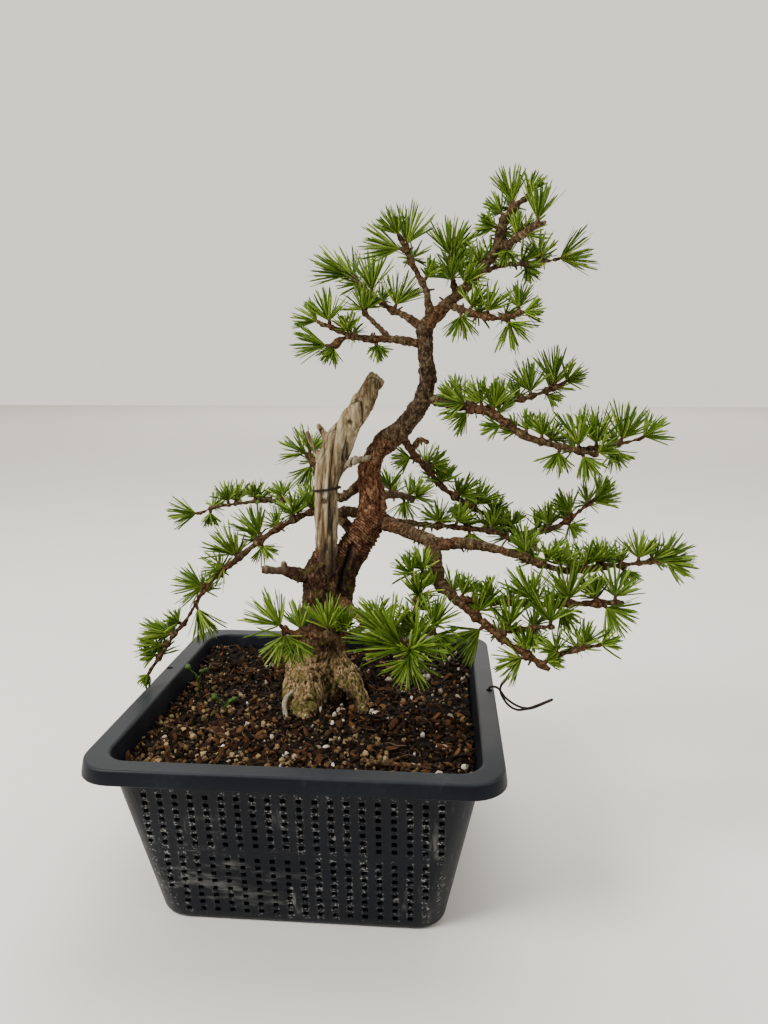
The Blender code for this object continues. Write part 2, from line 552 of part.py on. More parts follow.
def make_wood():
    """Trunk, deadwood and limbs, each cut clear of the ones before it; gives them grown by the gap."""
    add_part("trunk", largest_island(limb(TRUNK, level=4)), trunk_bark)
    grown = [limb(TRUNK, GAP, level=4)]
    deadwood = boolean(limb(DEADWOOD, level=2), grown, "DIFFERENCE")
    add_part("deadwood", largest_island(deadwood), bleached_wood)
    grown.append(limb(DEADWOOD, GAP, level=2))
    stub = boolean(limb(CUT_STUB), grown, "DIFFERENCE")
    add_part("cut_stub", largest_island(stub), branch_bark)
    grown.append(limb(CUT_STUB, GAP))
    for name, routes in LIMBS.items():
        body = limb(routes)
        body = boolean(body, touching(body, grown), "DIFFERENCE")
        add_part(name, largest_island(body), branch_bark)
        grown.append(limb(routes, GAP))
    return grown


def make_foliage(wood):
    """One solid of foliage for each twig, clear of the wood inside it and of the foliage before it."""
    grown = []
    for name, (route, tufts) in NEEDLES.items():
        shares = [tuft_place[0] for tuft_place in tufts]
        start, end = min(shares) - 0.03, max(shares)
        lumps = [tuft(route, *brush) for brush in tufts]
        body = boolean(sleeve(route, start, end), lumps, "UNION")
        body = boolean(body, touching(body, wood), "DIFFERENCE")
        body = boolean(body, touching(body, grown), "DIFFERENCE")
        add_part(name, largest_island(body), larch_green)
        grown.append(sleeve(route, start, end, GAP))
        grown.extend(tuft(route, *brush, grow=GAP) for brush in tufts)


def make_weed(name, stems):
    """A small seedling with a leaf at the end of each stem."""
    leaves = [ellipsoid(stem[-1][:3], LEAF) for stem in stems]
    body = boolean(limb(stems), leaves, "UNION")
    add_part(name, largest_island(body), weed_green)


def make_wires():
    add_part("guy_wire", largest_island(limb(GUY_WIRE, level=2)), dark_wire)
    bpy.ops.mesh.primitive_torus_add(major_radius=JIN_WIRE_RING * MM, minor_radius=JIN_WIRE_RADIUS * MM,
                                     major_segments=14, minor_segments=5)
    ring = bpy.context.object
    mesh = ring.data.copy()
    bpy.data.objects.remove(ring)
    turn = Matrix.Rotation(math.radians(JIN_WIRE_TILT), 4, "Y")
    mesh.transform(Matrix.Translation(Vector(JIN_WIRE_MIDDLE) * MM) @ turn)
    add_part("deadwood_wire", mesh, dark_wire)


clear_scene()
parts = collection("larch_bonsai")
cutters = collection("cutters")
stand = bpy.data.objects.new("bonsai_stand_point", None)
parts.objects.link(stand)

black_plastic = material("black_plastic", (0.016, 0.019, 0.026), 0.42)
dark_soil = material("dark_soil", (0.03, 0.018, 0.011), 0.95)
trunk_bark = material("trunk_bark", (0.12, 0.07, 0.045), 0.85)
branch_bark = material("branch_bark", (0.08, 0.045, 0.03), 0.8)
bleached_wood = material("bleached_wood", (0.34, 0.29, 0.22), 0.8)
larch_green = material("larch_green", (0.1, 0.2, 0.02), 0.55)
weed_green = material("weed_green", (0.07, 0.2, 0.02), 0.5)
dark_wire = material("dark_wire", (0.02, 0.018, 0.016), 0.4, 0.8)

make_basket()
make_soil([limb(TRUNK, GAP, level=4)]
          + [limb(routes, GAP) for routes in (SOIL_TWIG_RIGHT, SOIL_TWIG_LEFT, WEED_LEFT, WEED_FRONT)])
wood_grown = make_wood()
make_foliage(wood_grown)
make_wires()
add_part("soil_twig_right", largest_island(limb(SOIL_TWIG_RIGHT)), branch_bark)
add_part("soil_twig_left", largest_island(limb(SOIL_TWIG_LEFT)), branch_bark)
make_weed("weed_left", WEED_LEFT)
make_weed("weed_front", WEED_FRONT)
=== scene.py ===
import math
import random

import bmesh
import bpy
import numpy as np
from mathutils import Matrix, Vector, noise


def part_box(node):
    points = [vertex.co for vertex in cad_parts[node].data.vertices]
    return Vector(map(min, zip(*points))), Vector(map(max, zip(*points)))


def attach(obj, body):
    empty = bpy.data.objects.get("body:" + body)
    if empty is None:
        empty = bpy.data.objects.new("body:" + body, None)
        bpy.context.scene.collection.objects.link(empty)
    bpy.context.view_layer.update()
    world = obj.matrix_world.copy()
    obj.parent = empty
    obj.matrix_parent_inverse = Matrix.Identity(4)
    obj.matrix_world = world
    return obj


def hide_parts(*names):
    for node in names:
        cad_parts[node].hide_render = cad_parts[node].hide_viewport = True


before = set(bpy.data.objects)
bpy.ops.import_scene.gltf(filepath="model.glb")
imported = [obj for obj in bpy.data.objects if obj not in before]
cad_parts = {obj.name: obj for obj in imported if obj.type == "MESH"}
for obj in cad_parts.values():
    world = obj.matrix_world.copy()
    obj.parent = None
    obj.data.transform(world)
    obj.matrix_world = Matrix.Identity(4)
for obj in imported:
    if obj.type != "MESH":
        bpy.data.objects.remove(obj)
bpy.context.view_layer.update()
MM = 0.001


# ---- Studio ----
# A pale floor for the basket to stand on, soft lamps above it, and the camera: a little above
# the rim, in front of the basket and to its right, looking slightly down and to the left.
class Value:
    """A number, colour or vector from a node. Arithmetic on it adds Math nodes."""

    def __init__(self, graph, socket):
        self.graph, self.socket = graph, socket

    def math(self, operation, *others):
        return self.graph.node("ShaderNodeMath", {"operation": operation}, [self, *others])

    def reflected(self, operation, other):
        return self.graph.node("ShaderNodeMath", {"operation": operation}, [other, self])

    def __add__(self, other):
        return self.math("ADD", other)

    def __mul__(self, other):
        return self.math("MULTIPLY", other)

    def __sub__(self, other):
        return self.math("SUBTRACT", other)

    def __truediv__(self, other):
        return self.math("DIVIDE", other)

    def __pow__(self, other):
        return self.math("POWER", other)

    def __lt__(self, other):
        return self.math("LESS_THAN", other)

    def __gt__(self, other):
        return self.math("GREATER_THAN", other)

    def __rsub__(self, other):
        return self.reflected("SUBTRACT", other)

    def __rtruediv__(self, other):
        return self.reflected("DIVIDE", other)

    __radd__ = __add__
    __rmul__ = __mul__


class Graph:
    """The nodes of one material or geometry tree, all made by node()."""

    def __init__(self, tree):
        self.tree = tree

    def node(self, kind, settings=None, inputs=(), output=0):
        made = self.tree.nodes.new(kind)
        for key, setting in (settings or {}).items():
            if key == "stops":
                stops = made.color_ramp.elements
                while len(stops) < len(setting):
                    stops.new(0.5)
                for stop, (place, colour) in zip(stops, setting):
                    stop.position, stop.color = place, (*colour, 1)
            else:
                setattr(made, key, setting)
        named = inputs.items() if isinstance(inputs, dict) else enumerate(inputs)
        for key, value in named:
            self.feed(made, key, value)
        shown = [socket for socket in made.outputs if socket.enabled]
        if isinstance(output, str):
            shown, output = [socket for socket in shown if socket.name == output], 0
        return Value(self, shown[output]) if shown else made

    def feed(self, made, key, value):
        """Links or sets an input: by its place in the list, or by name among those in use."""
        if isinstance(key, str):
            socket = next(s for s in made.inputs if s.enabled and s.name == key)
        else:
            socket = made.inputs[key]
        if isinstance(value, Value):
            self.tree.links.new(value.socket, socket)
        else:
            socket.default_value = value

    def object_coordinates(self, stretch=(1, 1, 1)):
        where = self.node("ShaderNodeTexCoord", output="Object")
        return self.node("ShaderNodeMapping", {}, {"Vector": where, "Scale": stretch})

    def noise(self, where, scale, detail=3.0, roughness=0.55):
        sizes = {"Vector": where, "Scale": scale, "Detail": detail, "Roughness": roughness}
        return self.node("ShaderNodeTexNoise", {}, sizes)

    def split(self, vector):
        """The X, Y and Z of a vector."""
        parts = self.node("ShaderNodeSeparateXYZ", {}, {"Vector": vector}).socket.node.outputs
        return [Value(self, parts[axis]) for axis in "XYZ"]

    def attribute(self, name):
        return self.node("ShaderNodeAttribute", {"attribute_name": name}, (), "Fac")

    def chance(self, low, high, seed):
        """A random number for each point or copy of a geometry tree."""
        ends = {"Min": low, "Max": high, "Seed": seed}
        return self.node("FunctionNodeRandomValue", {"data_type": "FLOAT"}, ends)

    def step(self, value, low, high, start=0.0, end=1.0):
        """A smooth step of value from start, at low, to end, at high."""
        ends = {"Value": value, "From Min": low, "From Max": high, "To Min": start, "To Max": end}
        return self.node("ShaderNodeMapRange", {"interpolation_type": "SMOOTHSTEP"}, ends)

    def blend(self, share, first, second):
        """The first colour, turning into the second as share goes from 0 to 1."""
        first, second = ((*c, 1) if isinstance(c, tuple) else c for c in (first, second))
        colours = {"Factor": share, "A": first, "B": second}
        return self.node("ShaderNodeMix", {"data_type": "RGBA"}, colours)

    def ramp(self, value, *stops):
        return self.node("ShaderNodeValToRGB", {"stops": stops}, {"Fac": value})

    def bump(self, height, distance, strength=1.0):
        sizes = {"Strength": strength, "Distance": distance, "Height": height}
        return self.node("ShaderNodeBump", {}, sizes)


DULL = 0.12  # specular level: wood, soil and leaves shine little


def finish(name, **constants):
    """A new material: itself, the graph of its nodes, and its Principled shader."""
    material = bpy.data.materials.new(name)
    material.use_nodes = True
    shader = material.node_tree.nodes["Principled BSDF"]
    shader.inputs["Specular IOR Level"].default_value = DULL
    for key, value in constants.items():
        shader.inputs[key.replace("_", " ").title()].default_value = value
    return material, Graph(material.node_tree), shader


def add_piece(name, mesh, material=None):
    """A new object of the scene, shaded smooth."""
    mesh.name = name
    if material:
        mesh.materials.clear()
        mesh.materials.append(material)
    mesh.shade_smooth()
    piece = bpy.data.objects.new(name, mesh)
    bpy.context.scene.collection.objects.link(piece)
    return piece


def mesh_from(bm):
    mesh = bpy.data.meshes.new("shape")
    bm.to_mesh(mesh)
    bm.free()
    return mesh


FLOOR_HALF = 6.0  # metres
pale, plaster, pale_shader = finish("pale_floor", roughness=0.8)
cloud = plaster.noise(plaster.object_coordinates(), 6.0)
plaster.feed(pale_shader, "Base Color", plaster.blend(cloud, (0.78, 0.76, 0.71), (0.82, 0.8, 0.75)))
ground = bmesh.new()
bmesh.ops.create_grid(ground, x_segments=2, y_segments=2, size=FLOOR_HALF)
floor = add_piece("floor", mesh_from(ground), pale)


def lamp(name, place, aim, size, power, colour):
    """A round soft lamp: places and size in metres, power in watts."""
    light = bpy.data.lights.new(name, "AREA")
    light.shape, light.size, light.energy, light.color = "DISK", size, power, colour
    holder = bpy.data.objects.new(name, light)
    holder.location = place
    holder.rotation_euler = (Vector(aim) - Vector(place)).to_track_quat("-Z", "Y").to_euler()
    bpy.context.scene.collection.objects.link(holder)


MIDDLE = (0.03, 0, 0.15)
lamp("key_lamp", (-1.0, -0.75, 1.25), MIDDLE, 0.7, 34, (1, 0.98, 0.94))
lamp("fill_lamp", (1.2, -0.7, 0.7), MIDDLE, 1.2, 5, (0.93, 0.96, 1))
lamp("top_lamp", (0.2, 0.5, 1.5), MIDDLE, 1.2, 15, (1, 1, 1))
lamp("floor_lamp", (0.1, 4.4, 3.5), (0.1, 4.6, 0), 4.0, 140, (1, 0.97, 0.92))
world = bpy.data.worlds.new("studio")
world.use_nodes = True
sky = Graph(world.node_tree)
toward = sky.node("ShaderNodeTexCoord", output="Generated")
far = sky.split(toward)[1]
sky.feed(world.node_tree.nodes["Background"], "Color",
         sky.blend(sky.step(far, -0.4, 0.7), (0.42, 0.41, 0.385), (1.2, 1.14, 1.02)))
bpy.context.scene.world = world

LOOK_DOWN, LOOK_LEFT = 10.08, 4.48  # degrees
camera = bpy.data.objects.new("camera", bpy.data.cameras.new("camera"))
camera.data.lens, camera.data.sensor_width = 27.27, 36
camera.location = (0.0664, -0.3970, 0.2596)
camera.rotation_euler = (math.radians(90 - LOOK_DOWN), 0, math.radians(LOOK_LEFT))
bpy.context.scene.collection.objects.link(camera)
bpy.context.scene.camera = camera


# ---- Basket ----
# A square pond basket moulded in one piece of black plastic. Its walls lean outwards and are
# pierced by two bands of small square holes, and a flat rim turns down into a short skirt.
pot_low, pot_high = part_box("pot_basket")
POT_HEIGHT = pot_high.z / MM
BASE_HALF, MOUTH_HALF, WALL = 69.5, 85.0, 1.8
CORNER, RIM_CORNER = 14.0, 17.0
HOLE_COLUMNS, COLUMN_PITCH, HOLE_WIDTH = 20, 7.1, 2.5
HOLE_ROWS, ROW_PITCH, HOLE_HEIGHT, LOWEST_ROW, PLAIN_ROW = 16, 4.35, 2.3, 6.7, 8
HOLED_HALF, UPPER_EXTRA = 57, 8  # the holes' half width at the foot, and its gain above the plain row
PUNCH_REACH = 240  # right through both walls
DRAIN_SLOT, DRAIN_GRID, DRAIN_SPREAD = (4.5, 2.6, 20), (11, 10), (90, 81)
FLANGE_HOLES, FLANGE_HOLE_RADIUS = ((92.4, 5.5), (-92.4, 23.7)), 1.8
# (half width, height) round the moulding, from the outer foot up, over the rim and down inside
OUTER_WALL = [(64, 0.9), (66, 0), (68.2, 0.2), (69.3, 1.2), (69.9, 2.6), (86.4, 88.2)]
SKIRT = [(93.2, 88.3), (93.8, 87.8), (94.5, 83.2), (94.7, 82.9), (95.7, 82.9), (96, 83.2),
         (95.2, 89.2), (95.05, 89.6), (94.7, 89.9), (94.3, 90), (93.9, 90)]
INNER_WALL = [(86.9, 90), (86.5, 90), (86, 89.9), (85.3, 89.3), (84.9, 88.3), (68.3, 3.4),
              (67.4, 2.3), (66, 2)]


def square_ring(half, corner, flat=1, arc=8):
    """Points of a rounded square, anticlockwise: flat steps along a side, arc steps round a corner."""
    inner = half - corner
    side = [Vector((half, inner * (2 * i / flat - 1), 0)) for i in range(flat)]
    for angle in (math.radians(90 * i / arc) for i in range(arc)):
        side.append(Vector((inner + corner * math.cos(angle), inner + corner * math.sin(angle), 0)))
    turns = [Matrix.Rotation(math.radians(90 * quarter), 3, "Z") for quarter in range(4)]
    return [turn @ point for turn in turns for point in side]


def loft(bm, rings, close_start=True, close_end=True):
    """Quads between successive rings of vertices, with the ends filled."""
    for lower, upper in zip(rings, rings[1:]):
        for i in range(len(lower)):
            j = (i + 1) % len(lower)
            bm.faces.new((lower[i], lower[j], upper[j], upper[i]))
    if close_start:
        bm.faces.new(list(reversed(rings[0])))
    if close_end:
        bm.faces.new(rings[-1])


def moulding():
    """The basket before its holes: one closed shell of rounded squares."""
    bm = bmesh.new()
    rings = []
    for profile, corner in ((OUTER_WALL, CORNER), (SKIRT, RIM_CORNER), (INNER_WALL, CORNER - WALL)):
        for half, height in profile:
            points = square_ring(half, corner)
            rings.append([bm.verts.new((p.x * MM, p.y * MM, height * MM)) for p in points])
    loft(bm, rings)
    bmesh.ops.recalc_face_normals(bm, faces=bm.faces)
    return mesh_from(bm)


def new_tree(name, inputs):
    """A geometry tree with these inputs: its graph, and a Value for each input by name."""
    tree = bpy.data.node_groups.new(name, "GeometryNodeTree")
    tree.interface.new_socket("Geometry", in_out="INPUT", socket_type="NodeSocketGeometry")
    for key, kind in inputs.items():
        tree.interface.new_socket(key, in_out="INPUT", socket_type=kind)
    tree.interface.new_socket("Geometry", in_out="OUTPUT", socket_type="NodeSocketGeometry")
    graph = Graph(tree)
    entry = tree.nodes.new("NodeGroupInput")
    values = {socket.name: Value(graph, socket) for socket in entry.outputs if socket.name}
    return graph, values


def end_tree(graph, geometry, material):
    """Closes a tree: its copies are realised and painted."""
    real = graph.node("GeometryNodeRealizeInstances", {}, {"Geometry": geometry})
    painted = graph.node("GeometryNodeSetMaterial", {}, {"Geometry": real, "Material": material})
    leave = graph.tree.nodes.new("NodeGroupOutput")
    graph.feed(leave, "Geometry", painted)
    return graph.tree


def run_tree(tree, mesh, settings, extra=()):
    """The plain mesh that a geometry tree makes of a mesh, after any extra modifiers."""
    holder = bpy.data.objects.new("holder", mesh)
    bpy.context.scene.collection.objects.link(holder)
    for kind, values in extra:
        modifier = holder.modifiers.new(kind, kind)
        for key, value in values.items():
            setattr(modifier, key, value)
    modifier = holder.modifiers.new("nodes", "NODES")
    modifier.node_group = tree
    for socket in tree.interface.items_tree:
        if socket.in_out == "INPUT" and socket.name in settings:
            modifier[socket.identifier] = settings[socket.name]
    graph = bpy.context.evaluated_depsgraph_get()
    made = bpy.data.meshes.new_from_object(holder.evaluated_get(graph))
    bpy.data.objects.remove(holder)
    return made


def perforation_tree(material):
    """Cuts rows of square holes through both pairs of walls, and a grid of holes in the floor."""
    graph, given = new_tree("perforations", {
        "Columns": "NodeSocketInt", "Rows": "NodeSocketInt", "Column Pitch": "NodeSocketFloat",
        "Row Pitch": "NodeSocketFloat", "Hole Width": "NodeSocketFloat",
        "Hole Height": "NodeSocketFloat", "Lowest Row": "NodeSocketFloat",
        "Plain Row": "NodeSocketFloat", "Base Half": "NodeSocketFloat", "Lean": "NodeSocketFloat",
        "Upper Extra": "NodeSocketFloat"})
    wide = (given["Columns"] - 1) * given["Column Pitch"]
    tall = (given["Rows"] - 1) * given["Row Pitch"]
    sizes = {"Size X": wide, "Size Y": tall, "Vertices X": given["Columns"], "Vertices Y": given["Rows"]}
    grid = graph.node("GeometryNodeMeshGrid", {}, sizes, "Mesh")
    middle = tall / 2 + given["Lowest Row"]
    lift = graph.node("ShaderNodeCombineXYZ", {}, {"Z": middle})
    moved = {"Geometry": grid, "Translation": lift, "Rotation": (math.pi / 2, 0, 0)}
    upright = graph.node("GeometryNodeTransform", {}, moved)
    across, _, height = graph.split(graph.node("GeometryNodeInputPosition"))
    reach = given["Base Half"] + height * given["Lean"]
    reach = reach + (height > given["Plain Row"]) * given["Upper Extra"]
    outside = across.math("ABSOLUTE") > reach
    plain = (height - given["Plain Row"]).math("ABSOLUTE") < given["Row Pitch"] / 2
    unwanted = (outside + plain) > 0.5
    left = graph.node("GeometryNodeDeleteGeometry", {"domain": "POINT"},
                      {"Geometry": upright, "Selection": unwanted})
    size = graph.node("ShaderNodeCombineXYZ", {}, {"X": given["Hole Width"], "Y": PUNCH_REACH * MM,
                                                    "Z": given["Hole Height"]})
    punch = graph.node("GeometryNodeMeshCube", {}, {"Size": size}, "Mesh")
    punches = graph.node("GeometryNodeInstanceOnPoints", {}, {"Points": left, "Instance": punch})
    turned = graph.node("GeometryNodeTransform", {}, {"Geometry": punches, "Rotation": (0, 0, math.pi / 2)})
    sizes = {"Size X": DRAIN_SPREAD[0] * MM, "Size Y": DRAIN_SPREAD[1] * MM,
             "Vertices X": DRAIN_GRID[0], "Vertices Y": DRAIN_GRID[1]}
    floor_grid = graph.node("GeometryNodeMeshGrid", {}, sizes, "Mesh")
    drill = graph.node("GeometryNodeMeshCube", {}, {"Size": Vector(DRAIN_SLOT) * MM}, "Mesh")
    drills = graph.node("GeometryNodeInstanceOnPoints", {}, {"Points": floor_grid, "Instance": drill})
    body = given["Geometry"]
    for cutter in (punches, turned, drills):
        real = graph.node("GeometryNodeRealizeInstances", {}, {"Geometry": cutter})
        cut = graph.tree.nodes.new("GeometryNodeMeshBoolean")
        cut.operation, cut.solver = "DIFFERENCE", "MANIFOLD"
        graph.tree.links.new(body.socket, cut.inputs[0])
        graph.tree.links.new(real.socket, cut.inputs[1])
        body = Value(graph, cut.outputs["Mesh"])
    return end_tree(graph, body, material)


black, pot, pot_shader = finish("black_plastic")
pot_shader.inputs["Specular IOR Level"].default_value = 0.15
where = pot.object_coordinates()
x, y, height = pot.split(where)
side_wall = x.math("ABSOLUTE") > y.math("ABSOLUTE")
along = x + (y - x) * side_wall
off_column = ((along / (COLUMN_PITCH * MM)).math("FRACT") - 0.5).math("ABSOLUTE")
beside_row = (((height - LOWEST_ROW * MM) / (ROW_PITCH * MM)).math("FRACT") - 0.5).math("ABSOLUTE")
cloudy = pot.noise(where, 24.0, 5.0, 0.62)
fine = pot.noise(where, 420.0, 4.0, 0.7)
wiped = pot.noise(pot.object_coordinates((1, 1, 0.16)), 150.0, 5.0, 0.7)
specks = pot.noise(where, 900.0, 3.0, 0.6)
bands = pot.step(height, 0.079, 0.075) * pot.step(height, 0.002, 0.005)
bands = bands * pot.step(along.math("ABSOLUTE"), 0.071, 0.069)
lime = pot.step(off_column, 0.32, 0.2) * pot.step(beside_row, 0.42, 0.2) * bands
lime = lime * pot.step(specks, 0.54, 0.62) * pot.step(wiped * 0.5 + cloudy * 0.5, 0.44, 0.58)
lower_wall = pot.step(height, 0.083, 0.03)
streaks = pot.step(wiped, 0.56, 0.76) * pot.step(cloudy, 0.44, 0.62) * (0.15 + lower_wall * 0.85)
slant = {"Vector": where, "Rotation": (0, 0.6, 0), "Scale": (0.25, 1, 1)}
slanted = pot.node("ShaderNodeMapping", {}, slant)
scuffed = pot.step(pot.noise(slanted, 130.0, 5.0, 0.7), 0.54, 0.7) * pot.step(x, 0.03, -0.05)
scuffs = scuffed * pot.step(height, 0.07, 0.03) * 0.3
haze = pot.step(cloudy * 0.7 + fine * 0.3, 0.5, 0.68) * 0.02
dust = (lime * 0.8 + streaks * 0.5 + scuffs + haze).math("MINIMUM", 0.85)
plain = pot.blend(cloudy, (0.0012, 0.0019, 0.0042), (0.004, 0.0058, 0.011))
# Painted highlight: the rim's flat top is tinted lighter grey, standing in for the light that falls on it.
painted_rim_top_light = pot.step(height, 0.0888, 0.0897) * pot.step(cloudy * 0.7 + fine * 0.3, 0.3, 0.6, 0.6, 1.0)
plain = pot.blend(painted_rim_top_light, plain, (0.021, 0.024, 0.029))
pot.feed(pot_shader, "Base Color", pot.blend(dust, plain, (0.30, 0.30, 0.285)))
pot.feed(pot_shader, "Roughness", pot.step(cloudy + fine * 0.4, 0.45, 0.95, 0.36, 0.52) + dust * 0.4)
pot.feed(pot_shader, "Normal", pot.bump(fine * 0.5 + wiped * 0.6 + cloudy * 0.4, 0.0003, 0.35))

tree = perforation_tree(black)
holes = bmesh.new()
for x, y in FLANGE_HOLES:
    spot = Matrix.Translation(Vector((x, y, POT_HEIGHT)) * MM)
    bmesh.ops.create_cone(holes, cap_ends=True, segments=20, radius1=FLANGE_HOLE_RADIUS * MM,
                          radius2=FLANGE_HOLE_RADIUS * MM, depth=8 * MM, matrix=spot)
hole_cutter = bpy.data.objects.new("flange_drill", mesh_from(holes))
bpy.context.scene.collection.objects.link(hole_cutter)
pot_mesh = run_tree(tree, moulding(), {
    "Columns": HOLE_COLUMNS, "Rows": HOLE_ROWS, "Column Pitch": COLUMN_PITCH * MM,
    "Row Pitch": ROW_PITCH * MM, "Hole Width": HOLE_WIDTH * MM, "Hole Height": HOLE_HEIGHT * MM,
    "Lowest Row": LOWEST_ROW * MM, "Plain Row": (LOWEST_ROW + PLAIN_ROW * ROW_PITCH) * MM,
    "Base Half": HOLED_HALF * MM, "Lean": (MOUTH_HALF - BASE_HALF) / POT_HEIGHT,
    "Upper Extra": UPPER_EXTRA * MM},
    [("BOOLEAN", {"object": hole_cutter, "operation": "DIFFERENCE"})])
bpy.data.objects.remove(hole_cutter)
basket = add_piece("basket", pot_mesh)
pot_mesh.set_sharp_from_angle(angle=math.radians(32))
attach(basket, "root")
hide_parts("pot_basket")


# ---- Soil ----
# A loose mix of bark crumbs, tan grit and pale pumice, packed to the walls, heaped round the
# trunk and along the back. The bed is one rough body, and the grains lie on its surface.
SOIL_EDGE = 78.4
WALL_GAP = 0.6  # between the soil and the basket's wall
BED_FOOT, BED_DEPTH, BED_RINGS, TOP_RINGS = 2.6, 75.2, 24, 64
HEAP = ((-2, 18), (38, 34), 5.6)  # middle, spread and rise
BACK_RISE = 4.0
HOLLOW = ((12, 2), 7.5, 7.0)  # between the front and right roots


def soil_level(x, y):
    """Height of the soil's surface in millimetres."""
    (cx, cy), (sx, sy), rise = HEAP
    level = SOIL_EDGE + rise * math.exp(-((x - cx) / sx) ** 2 - ((y - cy) / sy) ** 2)
    level += BACK_RISE * min(max((y - 30) / 40, 0), 1) ** 2
    (hx, hy), width, depth = HOLLOW
    level -= depth * math.exp(-((x - hx) ** 2 + (y - hy) ** 2) / width ** 2)
    clods = 1.3 * noise.noise((x * 0.06, y * 0.06, 3.1))
    return level + clods + 0.7 * noise.noise((x * 0.25, y * 0.25, 7.7))


def wall_inside(height):
    """Half the width inside the basket's walls, at a height."""
    return BASE_HALF - WALL + (MOUTH_HALF - BASE_HALF + WALL) * height / POT_HEIGHT


def soil_body():
    """The packed soil: rough walls inside the basket's own, and a top closed ring by ring."""
    bm = bmesh.new()
    rings = []
    corner = CORNER - WALL - WALL_GAP
    for i in range(BED_RINGS + 1):
        level = BED_FOOT + BED_DEPTH * i / BED_RINGS
        half = wall_inside(level) - WALL_GAP
        ring = []
        for p in square_ring(half, corner, flat=24, arc=6):
            share = 1 - abs(0.35 * noise.noise((p.x * 0.3, p.y * 0.3, level * 0.3))) / half
            ring.append(bm.verts.new((p.x * share * MM, p.y * share * MM, level * MM)))
        rings.append(ring)
    outline = square_ring(wall_inside(SOIL_EDGE) - WALL_GAP, corner, flat=24, arc=6)
    for i in range(TOP_RINGS):
        share = 1 - i / TOP_RINGS
        ring = []
        for p in outline:
            x, y = p.x * share, p.y * share
            ring.append(bm.verts.new((x * MM, y * MM, soil_level(x, y) * MM)))
        rings.append(ring)
    loft(bm, rings)
    bmesh.ops.recalc_face_normals(bm, faces=bm.faces)
    return mesh_from(bm)


earth, peat, earth_shader = finish("earth", roughness=0.95)
where = peat.object_coordinates()
cells = {"Vector": where, "Scale": 420.0}
crumbs = peat.node("ShaderNodeTexVoronoi", {}, cells, "Distance")
pick = peat.split(peat.node("ShaderNodeTexVoronoi", {}, cells, "Color"))[0]
brown = peat.ramp(pick, (0.0, (0.006, 0.004, 0.0025)), (0.55, (0.018, 0.010, 0.006)),
                  (0.86, (0.05, 0.027, 0.014)), (0.95, (0.17, 0.13, 0.085)))
# Painted shade: the ground is darkened towards the edges of the crumb cells, between the crumbs.
shade_between_crumbs = peat.step(crumbs, 0.2, 0.62)
peat.feed(earth_shader, "Base Color", peat.blend(shade_between_crumbs, brown, (0.004, 0.003, 0.002)))
peat.feed(earth_shader, "Normal", peat.bump(1 - crumbs, 0.0012, 0.8))
soil_mesh = soil_body()
soil = add_piece("soil", soil_mesh, earth)
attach(soil, "root")
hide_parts("soil_bed", "soil_heap", "soil_ridge")


def stone(seed, stretch, points=15):
    """An angular grain about 1 across: the hull of a few random points."""
    rng = random.Random(seed)
    bm = bmesh.new()
    for _ in range(points):
        way = Vector([rng.gauss(0, 1) for _ in range(3)]).normalized() * rng.uniform(0.4, 0.5)
        bm.verts.new([way[i] * stretch[i] for i in range(3)])
    hull = bmesh.ops.convex_hull(bm, input=bm.verts)
    spare = [item for item in hull["geom_interior"] if isinstance(item, bmesh.types.BMVert)]
    bmesh.ops.delete(bm, geom=spare, context="VERTS")
    return mesh_from(bm)


def kinds(name, meshes):
    """A collection of the shapes that a scatter picks from. It isn't in the scene."""
    made = bpy.data.collections.new(name)
    for i, mesh in enumerate(meshes):
        made.objects.link(bpy.data.objects.new(f"{name}_{i}", mesh))
    return made


def shaded_copies(graph, copies, shade):
    """Copies that each keep a number, which their finish turns into a colour."""
    return graph.node("GeometryNodeStoreNamedAttribute", {"data_type": "FLOAT", "domain": "INSTANCE"},
                      {"Geometry": copies, "Name": "shade", "Value": shade})


